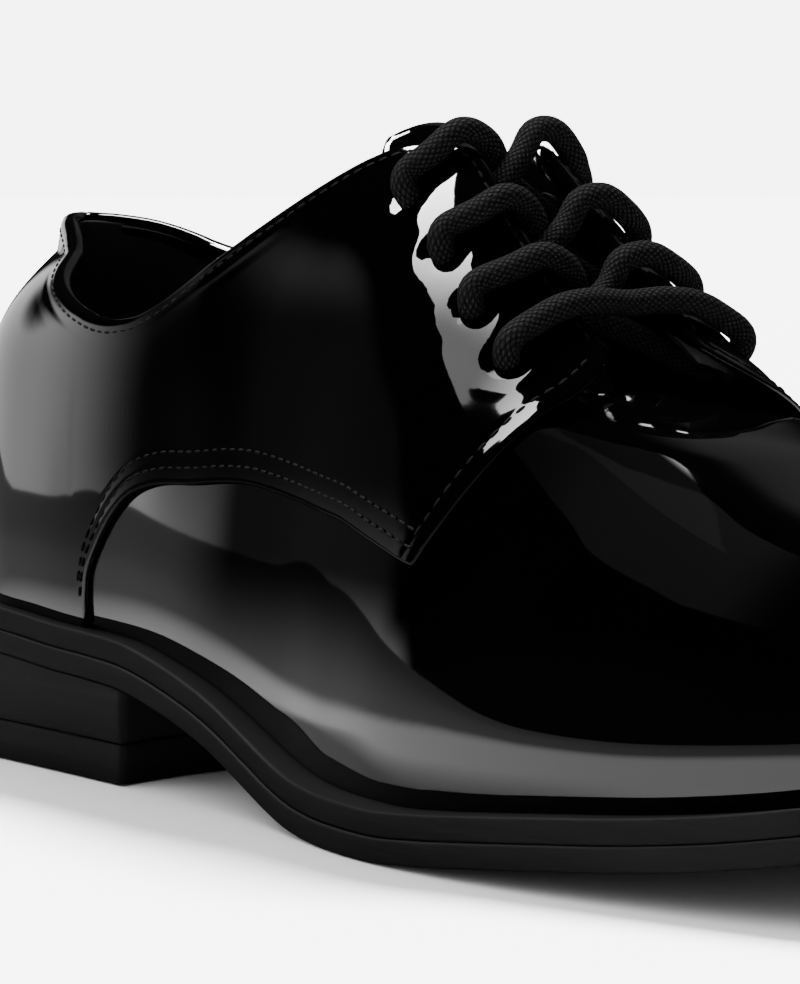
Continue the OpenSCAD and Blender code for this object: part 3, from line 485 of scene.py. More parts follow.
patent = patentLeather("patentLeather", paintedShadeSides)
vampPatent = patentLeather("vampPatent", paintedShadeVamp)
tonguePatent = patentLeather("tonguePatent", [])
liningHide = softLeather("liningHide", (0.0015, 0.0015, 0.0016), (0.004, 0.0039, 0.0039), 0.62, 800, 0.3)
sockHide = softLeather("sockHide", (0.003, 0.0029, 0.0028), (0.007, 0.0068, 0.0066), 0.6, 700, 0.35)
weltEdge = edgeLeather("weltEdge", (0.0006, 0.0006, 0.0006), (0.0085, 0.0085, 0.0087), 0.6, 0.3, 0.95)
soleEdge = edgeLeather("soleEdge", (0.0016, 0.0016, 0.0016), (0.0085, 0.0085, 0.0087), 0.62)
heelStack = edgeLeather("heelStack", (0.0018, 0.0018, 0.0018), (0.0105, 0.0105, 0.0105), 0.62, 0.3)
liftRubber = edgeLeather("liftRubber", (0.0018, 0.0018, 0.0018), (0.0105, 0.0105, 0.0105), 0.64, 0.2)
laceCotton = braidedCotton()
thread = stitchThread()
tapMetal = metal("tapMetal", (0.42, 0.42, 0.43), (0.68, 0.68, 0.69), 0.3, 0.25)
plainSteel = metal("plainSteel", (0.35, 0.35, 0.36), (0.58, 0.58, 0.59), 0.36, 0.2)
eyeletPaint = metal("eyeletPaint", (0.002, 0.002, 0.002), (0.006, 0.006, 0.006), 0.4, 0.1)
paddingFoam = plainFibre("paddingFoam", (0.008, 0.008, 0.0082), (0.02, 0.02, 0.0205), 0.9, 1200)
stiffener = plainFibre("stiffener", (0.06, 0.055, 0.045), (0.14, 0.12, 0.1), 0.85, 900)
tapeWeave = plainFibre("tapeWeave", (0.003, 0.003, 0.003), (0.008, 0.008, 0.008), 0.85, 1800)
boardFibre = plainFibre("boardFibre", (0.32, 0.22, 0.13), (0.5, 0.37, 0.23), 0.85, 500)
corkGrain = plainFibre("corkGrain", (0.25, 0.14, 0.07), (0.55, 0.36, 0.2), 0.9, 320)
print("finishes ready")

# finishes of the pieces that keep the shape of the frame's own solids
carried = {"lace_tips": thread, "blind_eyelets": eyeletPaint, "eyelet_stays": tapeWeave,
           "collar_padding": paddingFoam, "toe_puff": stiffener, "heel_counter": stiffener,
           "back_seam_tape": tapeWeave, "sock_liner": sockHide,
           "heel_pad": sockHide, "insole_board": boardFibre, "cork_filler": corkGrain, "shank": plainSteel,
           "heel_nails": plainSteel, "lift_nails": plainSteel, "toe_tap": tapMetal,
           "toe_tap_screws": plainSteel,
           "heel_tap": tapMetal, "heel_tap_screws": plainSteel}
for node, finish in carried.items():
    shown = bpy.data.objects[node]
    for slot in shown.material_slots:
        slot.material = finish


# quarters: the two rear halves of the upper, with the facings

quarterSpec = {"leather": 1.2, "turnedEdge": 3.7, "topDense": 8.0, "archDense": 7.0, "ripple": 0.10,
               "stitchIn": 2.7, "archRows": (2.2, 5.0), "dimple": 1.0}
quarterColumns = [[4.05, 0, 4.05, -1], [5, 0, 5.2, -1], [8, 0, 8, -1], [13, 0, 13, -1], [20, 0, 20, -1],
                  [30, 0, 29, -1], [42, 0, 39, -1], [53, 0, 48, -1], [61, 0, 55, -1], [63, 0.035, 60, -1],
                  [64.5, 0.065, 65, -1], [68.5, 0.1, 70, -1], [73, 0.13, 76, -1], [79, 0.157, 84, -1],
                  [88, 0.18, 93, -1], [99, 0.2, 103, -1], [110, 0.225, 114, -1], [120, 0.246, 125, -1],
                  [130, 0.26, 134, -1], [139, 0.268, 141, -1], [147, 0.272, 146.5, -1],
                  [154, 0.275, 150.5, -2],
                  [160, 0.276, 157, -2], [166, 0.276, 165, -2], [171, 0.276, 174, -2], [175, 0.277, 182, -2],
                  [178, 0.28, 187.6, -2]]
frontSwell = [[0, 0], [0.13, 3.4], [0.27, 5.6], [0.42, 6.8], [0.61, 7.1], [0.76, 6.8], [0.89, 4.3], [1, 0]]
frontShare = [[0, 0], [19, 0], [21, 0.12], [23, 0.4], [24, 0.6], [25, 0.82], [26, 1]]
eyeletS, eyeletQ = [180.6, 170.1, 159.5, 146.7], 0.685


def gapRound(s, g):
    w = (halfWidth(s, -1) - along(weltOut, s)) * roundedEnds(wrapLength(s))
    return np.arccos(np.clip(g / w, 0, 1) ** (along(squareness, s) / 2)) / (math.pi / 2)


def facingRound(s):
    return gapRound(s, 7.8 + 1.6 * (np.asarray(s, float) - 151) / 37)


def collarAt(s):
    return along(collarHeight, s)


def topRound(s, code):
    return float(roundAt(s, collarAt(s), -1)) if code == -1 else float(facingRound(s))


columnTop = [topRound(c[2], c[3]) for c in quarterColumns]


def quarterPlace(t, b):
    low = stepped([c[0] for c in quarterColumns], t)
    high = stepped([c[2] for c in quarterColumns], t)
    lowQ = np.maximum(0, stepped([c[1] for c in quarterColumns], t))
    highQ = stepped(columnTop, t)
    return low + (high - low) * b + along(frontSwell, b) * along(frontShare, t), lowQ + (highQ - lowQ) * b


def otherSide(q, side):
    return q if side < 0 else 2 - q


def startAtZero(rows):
    return np.concatenate([np.zeros((len(rows), 1)), rows], 1)


def quarterLengths(t):  # arc length of each column, in mm
    b = np.linspace(0, 1, 60)
    s, q = quarterPlace(np.asarray(t, float)[:, None], b[None, :])
    p = surfacePoint(s, q)
    return startAtZero(np.cumsum(np.linalg.norm(np.diff(p, axis=1), axis=-1), 1)), b


def shareAt(t, fromTop):  # b of the point so many mm from a column's top, or from its foot when negative
    lengths, b = quarterLengths(np.atleast_1d(t))
    out = []
    for row in lengths:
        d = row[-1] - fromTop if fromTop >= 0 else -fromTop
        out.append(np.interp(d, row, b))
    return np.array(out)


def quarterGrid():
    t = np.concatenate([np.linspace(0, 8, 33)[:-1], np.linspace(8, 22, 71)[:-1],
                        np.linspace(22, 25, 19)[:-1], np.linspace(25, 26, 12)])
    lengths, bs = quarterLengths(t)
    edge = 0.6 + 1.25 * np.clip((26 - t) / 1.5, 0, 1)
    rows = []
    for k, row in enumerate(lengths):
        total = row[-1] - edge[k]
        d = np.concatenate([np.linspace(0, quarterSpec["archDense"], 13)[:-1],
                            np.linspace(quarterSpec["archDense"], total - quarterSpec["topDense"], 36)[:-1],
                            np.linspace(total - quarterSpec["topDense"], total, 17)])
        rows.append(np.interp(d, row, bs))
    return t, np.array(rows), lengths[:, -1]


def eyeletCentre(i, side):
    return surfacePoint(eyeletS[i], otherSide(eyeletQ, side))


def quarterPiece(name, side):
    t, b, total = quarterGrid()
    s, q = quarterPlace(t[:, None], b)
    q = otherSide(q, side)
    onWelt = stepped([c[1] for c in quarterColumns], t)[:, None] <= 0.001
    face = surfacePoint(s, q, 0.0, np.where(onWelt, 0.2, 0))
    out = outward(np.clip(s, 6, 300), np.clip(q, 0.004, 1.996))
    rise = np.linalg.norm(np.diff(face, axis=1), axis=-1)
    fromTop = np.concatenate([np.cumsum(rise[:, ::-1], 1)[:, ::-1], np.zeros((len(t), 1))], 1)
    fromFoot = startAtZero(np.cumsum(rise, 1))
    fromFront = np.linalg.norm(np.diff(face, axis=0), axis=-1)
    fromFront = np.concatenate([np.cumsum(fromFront[::-1], 0)[::-1], np.zeros((1, b.shape[1]))], 0)
    overVamp = np.clip((t - 8) / 1.0, 0, 1)[:, None]
    line = quarterSpec["stitchIn"]
    sink = 0.05 * np.exp(-((fromTop - line) / 0.7) ** 2) + 0.05 * np.exp(-((fromFront - line) / 0.7) ** 2)
    for row in quarterSpec["archRows"]:
        sink += overVamp * 0.05 * np.exp(-((fromFoot - row) / 0.6) ** 2)
    for i in range(4):
        r = np.linalg.norm(face - eyeletCentre(i, side), axis=-1)
        sink += quarterSpec["dimple"] * np.exp(-(r / 2.7) ** 2) - 0.12 * np.exp(-((r - 5.2) / 1.6) ** 2)
    calm = np.clip(fromTop / 6, 0, 1) * np.clip(fromFront / 6, 0, 1)
    swell = quarterSpec["ripple"] * ripple(face, 34, 5) * calm
    outer = face + out * (swell - sink)[..., None]
    thick = quarterSpec["leather"] + (quarterSpec["turnedEdge"] - quarterSpec["leather"]) * (
        np.clip(1 - (fromTop - 1.5) / 4.5, 0, 1) ** 1.5) * np.clip((26 - t) / 1.5, 0, 1)[:, None]
    inner = outer - out * thick[..., None]
    n, m = b.shape
    verts, faces = closedSheet(outer.reshape(-1, 3), inner.reshape(-1, 3), gridQuads(n, m), 6)
    return newPiece(name, verts, faces, patent)


quarterOuter = quarterPiece("quarterOuterShell", -1)
quarterInner = quarterPiece("quarterInnerShell", 1)
print("quarters made")


# vamp: the front of the upper, under the quarters

vampSpec = {"leather": 1.2, "depth": 1.3, "ripple": 0.12}
wingTop = [[56, 0.1], [60, 0.13], [66, 0.17], [76, 0.22], [88, 0.25], [100, 0.27], [120, 0.31],
           [139, 0.335], [160, 0.345], [171, 0.37], [176, 0.45], [180, 0.56], [183, 0.7], [185, 0.82],
           [186.5, 0.87], [196, 0.8], [215, 0.74], [304, 0.74]]


def vampRound(s, j):
    t = along(wingTop, s)
    low = t * np.clip(j / 7, 0, 1) ** 1.15
    high = 2 - t * np.clip((18 - j) / 7, 0, 1) ** 1.15
    middle = t + (2 - 2 * t) * (j - 7) / 4
    return np.where(j <= 7, low, np.where(j >= 11, high, middle))


def vampPiece():
    s = np.concatenate([np.linspace(56, 186.5, 74)[:-1], np.linspace(186.5, 262, 60)[:-1],
                        299 - 37 * (1 - np.linspace(0, 1, 40)) ** 2])
    j = np.concatenate([np.linspace(0, 7, 29)[:-1], np.linspace(7, 11, 49)[:-1], np.linspace(11, 18, 29)])
    sg, jg = np.meshgrid(s, j, indexing="ij")
    q = vampRound(sg, jg)
    outer = vampPoint(sg, q, vampSpec["depth"], 0.2)
    n, m = sg.shape
    calm = np.clip((sg - 186) / 20, 0, 1) * np.clip((290 - sg) / 20, 0, 1)
    swell = vampSpec["ripple"] * ripple(outer, 40, 9) * calm
    out = outward(np.clip(sg, 8, 293), np.clip(q, 0.01, 1.99))
    outer = outer + out * swell[..., None]
    inner = outer - out * vampSpec["leather"]
    first = int(np.searchsorted(s, 186.4))
    quads = gridQuads(n, m, lambda i, k: i >= first or not (28 <= k < 76))
    verts, faces = closedSheet(outer.reshape(-1, 3), inner.reshape(-1, 3), quads, 5)
    return newPiece("vampShell", verts, faces, vampPatent)


vampShell = vampPiece()
closeDoubles(vampShell)
print("vamp made")


# tongue

tongueSpec = {"leather": 1.1, "padding": 1.7}
tongueHalf = [[127, 5.5], [128, 9.2], [130, 11.4], [133, 11.6], [137, 9.6], [141, 9.2], [147, 9.8],
              [152, 11.8], [160, 14.6], [175, 15], [193, 14]]
tongueSink = [[127, 0.6], [134, 0.84], [141, 1.06], [147, 1.12], [160, 1.1], [172, 1], [183, 1], [185, 0.8],
              [187, 0.35], [189, 0.05], [190, 0], [193, 0]]
tongueBow = [[127, 0.42], [137, 0.6], [147, 0.85], [155, 1], [183, 1], [188, 0.6], [193, 0.55]]
laceSpec = {"diameter": 4.3, "hole": 5.6, "sides": 20, "steps": 10}
innerDepth = 4.4
laceUnder = innerDepth + 0.65 + 0.4 + laceSpec["diameter"] / 2
tongueDepth = (laceUnder + laceSpec["diameter"] / 2 + 0.3) * 1.3


def tonguePoint(s, v, extra):
    a = vampPoint(s, np.ones_like(s), 1.3 + 1.2 + 0.3)
    c = surfacePoint(s, np.ones_like(s))
    f = along(tongueSink, s)
    topZ = np.where(s > 183, c[..., 2] - tongueDepth, c[..., 2] - tongueDepth * f)
    g = np.where(s > 183, f, 1.0)
    half = along(tongueHalf, s)
    y = c[..., 1] + v * half
    w = halfWidth(s, np.where(v < 0, -1, 1)) - along(weltOut, s) - tongueDepth * 0.75 * f
    n = along(squareness, s)
    fall = 1 - (1 - np.clip(np.abs(v) * half / w, 0, 1) ** n) ** (1 / n)
    drop = fall * (topZ - weltHeight(s)) * along(tongueBow, s)
    return np.stack([lengthX(s), y, a[..., 2] + (topZ - a[..., 2]) * g - drop - extra], -1)


def tongueSheet(name, s0, s1, low, high, material):
    s = np.linspace(s0, s1, 70)
    v = np.linspace(-0.96, 0.96, 31)
    sg, vg = np.meshgrid(s, v, indexing="ij")
    outer, inner = tonguePoint(sg, vg, low), tonguePoint(sg, vg, high)
    verts, faces = closedSheet(outer.reshape(-1, 3), inner.reshape(-1, 3), gridQuads(*sg.shape), 6)
    return newPiece(name, verts, faces, material)


tongueThick = tongueSpec["leather"] + tongueSpec["padding"]
tongueShell = tongueSheet("tongueShell", 192.5, 128.2, 0.0, tongueThick, tonguePatent)
tongueBack = tongueSheet("tongueBacking", 179, 129, 2.85, 3.6, liningHide)
print("tongue made")


# linings

liningStart = [4.02, 5, 8, 13, 20, 29, 39, 49, 58, 66, 74, 82, 90, 98, 105, 112, 119, 126, 132, 137,
               141, 144, 146, 147.5, 148.7, 149.5, 150]
liningSwell = [[0, 0], [0.33, -1], [0.6, -2.5], [0.8, -1.5], [1, 0]]
liningHigh = [min(c[2], 186.5) if c[3] == -2 else max(c[2], liningStart[0]) for c in quarterColumns]
liningTop = [topRound(h, c[3]) - (0.012 if c[3] == -2 else 0) for h, c in zip(liningHigh, quarterColumns)]


def quarterLiningPiece():
    t = np.concatenate([np.linspace(26, 0, 105), np.linspace(0, 26, 105)[1:]])
    side = np.concatenate([-np.ones(105), np.ones(104)])
    b = np.linspace(0, 0.988, 40)
    tg, bg = np.meshgrid(t, b, indexing="ij")
    low, high = stepped(liningStart, tg), stepped(liningHigh, tg)
    s = low + (high - low) * bg + along(liningSwell, bg) * along(frontShare, tg)
    q = stepped(liningTop, tg) * bg
    q = np.where(side[:, None] < 0, q, 2 - q)
    outer, inner = surfacePoint(s, q, 4.45, 1.6), surfacePoint(s, q, 3.6, 1.6)
    verts, faces = closedSheet(outer.reshape(-1, 3), inner.reshape(-1, 3), gridQuads(*tg.shape), 3)
    return newPiece("quarterLiningHide", verts, faces, liningHide)


def vampLiningPiece():
    rear = [[0, 153], [0.33, 164.5], [0.5, 175.5], [0.7, 187], [0.8, 197], [1, 198]]
    a = np.linspace(0, 1, 46) ** 1.2
    q = np.concatenate([a, 2 - a[:-1][::-1]])
    t = 1 - (1 - np.linspace(0, 1, 60)) ** 1.7
    tg, qg = np.meshgrid(t, q, indexing="ij")
    start = along(rear, np.where(qg <= 1, qg, 2 - qg))
    s = start + (lastS - start) * tg
    outer, inner = vampPoint(s, qg, 4.4, 1.6), vampPoint(s, qg, 3.6, 1.6)
    verts, faces = closedSheet(outer.reshape(-1, 3), inner.reshape(-1, 3), gridQuads(*tg.shape), 3)
    piece = newPiece("vampLiningHide", verts, faces, liningHide)
    closeDoubles(piece)
    return piece


quarterLiningHide = quarterLiningPiece()
closeDoubles(quarterLiningHide)
vampLiningHide = vampLiningPiece()
print("linings made")


# lace

laceOver = -laceSpec["diameter"] / 2 - 0.22
hug = laceSpec["hole"] / 2 - laceSpec["diameter"] / 2 - 0.15
turnRadius = laceSpec["diameter"] / 2 + 0.2


def dive(i, side):
    a, d = eyeletS[i], (0.3 if i == 0 else 0.9)
    steps = [[hug + turnRadius, laceOver, 1], [hug + turnRadius * 0.3, laceOver + turnRadius * 0.28, 0.5],
             [hug, 0.1, 0], [hug, 2.6, 0]]
    return [[a - p[2] * d * 0.5, otherSide(eyeletQ + p[0] / 75, side), p[1]] for p in steps]


def rise(i, side):
    a, low = eyeletS[i], innerDepth + 0.55
    steps = [[hug, low, 0], [hug + turnRadius * 0.3, low + turnRadius * 0.72, 0.3],
             [hug + turnRadius, laceUnder - 0.1, 0.8]]
    return [[a - p[2], otherSide(eyeletQ + p[0] / 75, side), p[1]] for p in steps]


def crossing(i, side):
    a, b = eyeletS[i], eyeletS[i + 1]
    d, fa, fb, high = a - b, float(facingRound(a)), float(facingRound(max(b, 148))), side < 0
    middle = [[a - 0.12 * d, otherSide(eyeletQ + 6.5 / 75, side), laceUnder],
              [a - 0.17 * d, otherSide(fa - 0.05, side), laceUnder],
              [a - 0.27 * d, otherSide(fa + 0.035, side), 5 if high else laceUnder],
              [(a + b) / 2, 1 - 0.012 * side, 2 if high else 6.6],
              [b + 0.27 * d, otherSide(fb + 0.05, -side), -1 if high else 1.2],
              [b + 0.17 * d, otherSide(fb - 0.02, -side), laceOver - 0.35],
              [b + 0.12 * d, otherSide(fb - 0.1, -side), laceOver - 0.1]]
    return rise(i, side) + middle + dive(i + 1, -side)


def tail(side):
    a = eyeletS[3]
    return [[a, otherSide(eyeletQ + hug / 75, side), innerDepth + 0.5],
            [a - 0.6, otherSide(eyeletQ - 0.002, side), laceUnder - 0.6],
            [a - 2.6, otherSide(0.645, side), laceUnder - 0.2],
            [a - 7, otherSide(0.565, side), laceUnder - 0.4],
            [a - 13, otherSide(0.47, side), 7.1], [a - 21, otherSide(0.38, side), 7.1],
            [a - 30, otherSide(0.3, side), 7.1], [a - 40, otherSide(0.22, side), 7.1],
            [a - 50, otherSide(0.15, side), 7.2]]


def halfRoute(side):
    start = [[eyeletS[0], otherSide(0.93, side), laceOver + 0.7],
             [eyeletS[0] + 0.1, otherSide(0.85, side), laceOver - 0.2],
             [eyeletS[0], otherSide(0.765, side), laceOver]]
    return start + dive(0, side) + crossing(0, side) + crossing(1, -side) + crossing(2, side) + tail(-side)


def smoothPath(points, steps):
    p = np.asarray(points, float)
    out = []
    for i in range(len(p) - 1):
        a, b, c, d = p[max(0, i - 1)], p[i], p[i + 1], p[min(len(p) - 1, i + 2)]
        for t in np.arange(steps) / steps:
            square, cube = 2 * a - 5 * b + 4 * c - d, 3 * b - a - 3 * c + d
            out.append(0.5 * (2 * b + (c - a) * t + square * t**2 + cube * t**3))
    out.append(p[-1])
    return np.array(out)


def pathFrames(p, start=(0.3, 0.2, 1)):
    t = unit(np.gradient(p, axis=0))
    u = np.array(start, float)
    us, vs = [], []
    for d in t:
        u = unit(u - d * np.dot(u, d))
        us.append(u)
        vs.append(np.cross(d, u))
    return np.array(us)[:, None], np.array(vs)[:, None]


def evenPath(p, gap):
    length = np.concatenate([[0], np.cumsum(np.linalg.norm(np.diff(p, axis=0), axis=1))])
    at = np.linspace(0, length[-1], int(length[-1] / gap) + 1)
    return np.stack([np.interp(at, length, p[:, k]) for k in range(3)], 1), at


def lacePiece():
    half = halfRoute(-1)
    route = half[::-1] + [[eyeletS[0] - 0.2, 1, laceOver + 2]] + halfRoute(1)
    r = np.array(route)
    points = under(r[:, 0], r[:, 1], r[:, 2])
    path, at = evenPath(smoothPath(points, laceSpec["steps"]), 0.7)
    for _ in range(2):
        path[1:-1] = path[1:-1] * 0.5 + (path[:-2] + path[2:]) * 0.25
    u, v = pathFrames(path)
    k = laceSpec["sides"]
    a = (np.arange(k) * 2 * math.pi / k)[None, :, None]
    ring = path[:, None] + laceSpec["diameter"] / 2 * (np.cos(a) * u + np.sin(a) * v)
    n = len(path)
    verts = ring.reshape(-1, 3)
    faces, uv = [], []
    for i in range(n - 1):
        for j in range(k):
            l = (j + 1) % k
            faces.append([i * k + j, (i + 1) * k + j, (i + 1) * k + l, i * k + l][::-1])
            uv += [(at[i], (j + 1) / k), (at[i + 1], (j + 1) / k), (at[i + 1], j / k), (at[i], j / k)]
    for end, flip in ((0, False), (n - 1, True)):
        loop = [end * k + j for j in range(k)]
        faces.append(loop[::-1] if flip else loop)
        uv += [(at[end], 0.0)] * k
    piece = newPiece("laceBraid", verts, faces, laceCotton, uv=np.array(uv))
    print("lace made, length", round(float(at[-1])), "mm")
    return piece


laceBraid = lacePiece()


# sole: midsole, outsole, heel and its lift

def outlinePoint(s, side, inset):
    s = np.clip(np.asarray(s, float), 0, 304)
    c = roundedEnds(s)
    f = 1 - np.clip(s / heelRound, 0, 1)
    g = np.clip((s - 304 + toeRound) / toeRound, 0, 1)
    y = along(toeSwing, s) + side * np.clip(halfWidth(s, side) - inset, 0, None) * c
    return lengthX(s) + inset * f - inset * g * g, y


soleSteps = np.concatenate([34 * (1 - np.cos(np.linspace(0, math.pi / 2, 28)))[:-1],
                            np.linspace(34, 242, 90)[:-1],
                            304 - 62 * (1 - np.linspace(0, 1, 44)) ** 2.2])


def soleLayer(name, inset, low, high, material, rounding=0.55):
    total = high - low
    profile = [(rounding * 1.6, 0), (rounding * 0.5, 0.08), (rounding * 0.12, rounding * 0.45),
               (0, rounding), (0, total * 0.5), (0, total - rounding),
               (rounding * 0.12, total - rounding * 0.45),
               (rounding * 0.5, total - 0.08), (rounding * 1.6, total)]
    rings = []
    base = soleHeight(soleSteps)
    for side, order in ((-1, profile), (1, profile[::-1])):
        for d, h in order:
            x, y = outlinePoint(soleSteps, side, inset + d)
            rings.append(np.stack([x, y, base + low + h], 1))
    ring = np.stack(rings, 1)
    n, m = ring.shape[:2]
    faces = []
    for i in range(n - 1):
        for j in range(m):
            l = (j + 1) % m
            faces.append([i * m + j, i * m + l, (i + 1) * m + l, (i + 1) * m + j])
    piece = newPiece(name, ring.reshape(-1, 3), faces, material)
    closeDoubles(piece)
    return piece


midsoleEdge = soleLayer("midsoleSlab", 0.35, 4, 8, weltEdge)
outsoleEdge = soleLayer("outsoleSlab", 0.0, 0, 4, soleEdge)


heelSpec = {"reach": 80.5, "lift": 7.1, "breast": 81.0}


def heelLoop(inset):  # closed outline of the heel, seen from above
    cx = lengthX(heelSpec["reach"]) + 74
    s = np.concatenate([34 * (1 - np.cos(np.linspace(0, math.pi / 2, 30))), np.linspace(34, 84, 60)[1:]])
    loops = {}
    for side in (-1, 1):
        x, y = outlinePoint(s, side, inset)
        inside = (x - cx) ** 2 + y**2 > (heelSpec["breast"] + inset) ** 2
        last = int(np.argmin(inside)) if not inside.all() else len(s)
        x, y = x[:last], y[:last]
        grow = np.linspace(0, 1, 40)
        known = np.linspace(0, 1, len(x))
        loops[side] = np.stack([np.interp(grow, known, x), np.interp(grow, known, y)], 1)
    a0 = math.atan2(loops[-1][-1][1], loops[-1][-1][0] - cx)
    a1 = math.atan2(loops[1][-1][1], loops[1][-1][0] - cx) - 2 * math.pi
    arc = np.linspace(a0, a1, 40)[1:-1]
    r = heelSpec["breast"] + inset
    breast = np.stack([cx + r * np.cos(arc), r * np.sin(arc)], 1)
    return np.concatenate([loops[-1], breast, loops[1][::-1][:-1]])


def heelPart(name, levels, material):
    rings = []
    for inset, height in levels:
        loop = heelLoop(inset)
        z = height(loop[:, 0] + soleLength / 2) if callable(height) else np.full(len(loop), float(height))
        rings.append(np.column_stack([loop, z]))
    verts = np.concatenate(rings)
    n, m = len(rings), len(rings[0])
    faces = []
    for i in range(n - 1):
        for j in range(m):
            l = (j + 1) % m
            faces.append([i * m + j, i * m + l, (i + 1) * m + l, (i + 1) * m + j])
    for base, flip in ((0, True), ((n - 1) * m, False)):
        loop = list(range(base, base + m))
        faces.append(loop[::-1] if flip else loop)
    piece = newPiece(name, verts, faces, material)
    bm = bmesh.new()
    bm.from_mesh(piece.data)
    bmesh.ops.remove_doubles(bm, verts=bm.verts, dist=1e-6)
    big = [f for f in bm.faces if len(f.verts) > 8]
    bmesh.ops.triangulate(bm, faces=big)
    bmesh.ops.recalc_face_normals(bm, faces=bm.faces)
    bm.to_mesh(piece.data)
    bm.free()
    return piece


def heelLevels():
    low = heelSpec["lift"] + 0.05

    def height(share, shift):
        return lambda s: low + (soleHeight(s) - low) * share + shift
    return [(0.95, height(0, 0.0)), (0.42, height(0, 0.15)), (0.2, height(0, 0.5)),
            (0.2, height(1, -0.5)), (0.4, height(1, -0.12)), (1.0, height(1, 0.0))]


heelBlock = heelPart("heelStackBlock", heelLevels(), heelStack)
lift = heelSpec["lift"]
liftLevels = [(1.3, 0.0), (0.75, 0.1), (0.5, 0.5), (0.42, lift / 2), (0.42, lift - 0.5), (0.6, lift - 0.1),
              (1.1, lift)]
topLift = heelPart("heelLift", liftLevels, liftRubber)
print("sole and heel made")


# stitches, set out along the seams and made by one tree

stitchSpec = {"gap": 2.75, "length": 2.05, "width": 0.55, "height": 0.42, "seed": 3}


def setStitches(s, q, gap):
    p = surfacePoint(s, q) - 0.02 * outward(np.clip(s, 6, 296), np.clip(q, 0.004, 1.996))
    length = np.concatenate([[0], np.cumsum(np.linalg.norm(np.diff(p, axis=0), axis=1))])
    where = np.arange(gap / 2, length[-1], gap)
    ss, qq = np.interp(where, length, s), np.interp(where, length, q)
    at2 = np.stack([np.interp(where, length, p[:, k]) for k in range(3)], 1)
    ahead = np.stack([np.interp(where + 0.5, length, p[:, k]) for k in range(3)], 1)
    behind = np.stack([np.interp(where - 0.5, length, p[:, k]) for k in range(3)], 1)
    return at2, unit(ahead - behind), outward(np.clip(ss, 6, 296), np.clip(qq, 0.004, 1.996))


def quarterSeams(side):
    runs = []
    inset = quarterSpec["stitchIn"]
    t = np.linspace(0.15, 25.35, 500)
    b = shareAt(t, inset + 0.1)
    s, q = quarterPlace(t, b)
    runs.append((s, q))
    bf = np.linspace(0.90, 0.055, 200)
    tf = []
    for value in bf:
        ts = np.linspace(24, 26, 40)
        ss, qq = quarterPlace(ts, np.full(40, value))
        p = surfacePoint(ss, qq)
        left = np.concatenate([np.cumsum(np.linalg.norm(np.diff(p, axis=0), axis=1)[::-1])[::-1], [0]])
        tf.append(np.interp(-inset, -left, ts))
    s, q = quarterPlace(np.array(tf), bf)
    runs.append((s, q))
    for d in quarterSpec["archRows"]:
        t = np.linspace(8.6, 25.3, 400)
        b = shareAt(t, -d)
        s, q = quarterPlace(t, b)
        runs.append((s, q))
    return [(s, otherSide(q, side)) for s, q in runs]


def stitchPoints():
    points, ways, normals = [], [], []
    for side in (-1, 1):
        for s, q in quarterSeams(side):
            p, w, n = setStitches(s, q, stitchSpec["gap"])
            points.append(p)
            ways.append(w)
            normals.append(n)
    return np.concatenate(points), np.concatenate(ways), np.concatenate(normals)


def stitchTree():
    tree = bpy.data.node_groups.new("stitchRows", "GeometryNodeTree")
    face = tree.interface
    face.new_socket("Geometry", in_out="INPUT", socket_type="NodeSocketGeometry")
    for title in ("Length", "Width", "Height"):
        value = stitchSpec[title.lower()] * mm
        face.new_socket(title, in_out="INPUT", socket_type="NodeSocketFloat").default_value = value
    face.new_socket("Seed", in_out="INPUT", socket_type="NodeSocketInt").default_value = stitchSpec["seed"]
    face.new_socket("Thread", in_out="INPUT", socket_type="NodeSocketMaterial")
    face.new_socket("Geometry", in_out="OUTPUT", socket_type="NodeSocketGeometry")
    nodes, links = tree.nodes, tree.links
    start, end = nodes.new("NodeGroupInput"), nodes.new("NodeGroupOutput")
    bead = nodes.new("GeometryNodeMeshUVSphere")
    bead.inputs["Segments"].default_value, bead.inputs["Rings"].default_value = 8, 6
    bead.inputs["Radius"].default_value = 0.5
    size = nodes.new("ShaderNodeCombineXYZ")
    shape = nodes.new("GeometryNodeTransform")
    way, up = nodes.new("GeometryNodeInputNamedAttribute"), nodes.new("GeometryNodeInputNamedAttribute")
    for node, name in ((way, "way"), (up, "up")):
        node.data_type = "FLOAT_VECTOR"
        node.inputs["Name"].default_value = name
    turn = nodes.new("FunctionNodeAxesToRotation")
    turn.primary_axis, turn.secondary_axis = "X", "Z"
    uneven = nodes.new("FunctionNodeRandomValue")
    uneven.data_type = "FLOAT"
    uneven.inputs[2].default_value, uneven.inputs[3].default_value = 0.92, 1.06
    put, real = nodes.new("GeometryNodeInstanceOnPoints"), nodes.new("GeometryNodeRealizeInstances")
    paint = nodes.new("GeometryNodeSetMaterial")
    smooth = nodes.new("GeometryNodeSetShadeSmooth")
    points = nodes.new("GeometryNodeMeshToPoints")
    for a, fromSocket, b, toSocket in (
            (start, "Length", size, "X"), (start, "Width", size, "Y"), (start, "Height", size, "Z"),
            (bead, "Mesh", shape, "Geometry"), (size, "Vector", shape, "Scale"),
            (start, "Geometry", points, "Mesh"), (points, "Points", put, "Points"),
            (shape, "Geometry", put, "Instance"), (way, "Attribute", turn, "Primary Axis"),
            (up, "Attribute", turn, "Secondary Axis"), (turn, "Rotation", put, "Rotation"),
            (start, "Seed", uneven, "Seed"), (uneven, 1, put, "Scale"),
            (put, "Instances", real, "Geometry"), (real, "Geometry", smooth, "Geometry"),
            (smooth, "Geometry", paint, "Geometry"), (start, "Thread", paint, "Material"),
            (paint, "Geometry", end, "Geometry")):
        links.new(a.outputs[fromSocket], b.inputs[toSocket])
    return tree


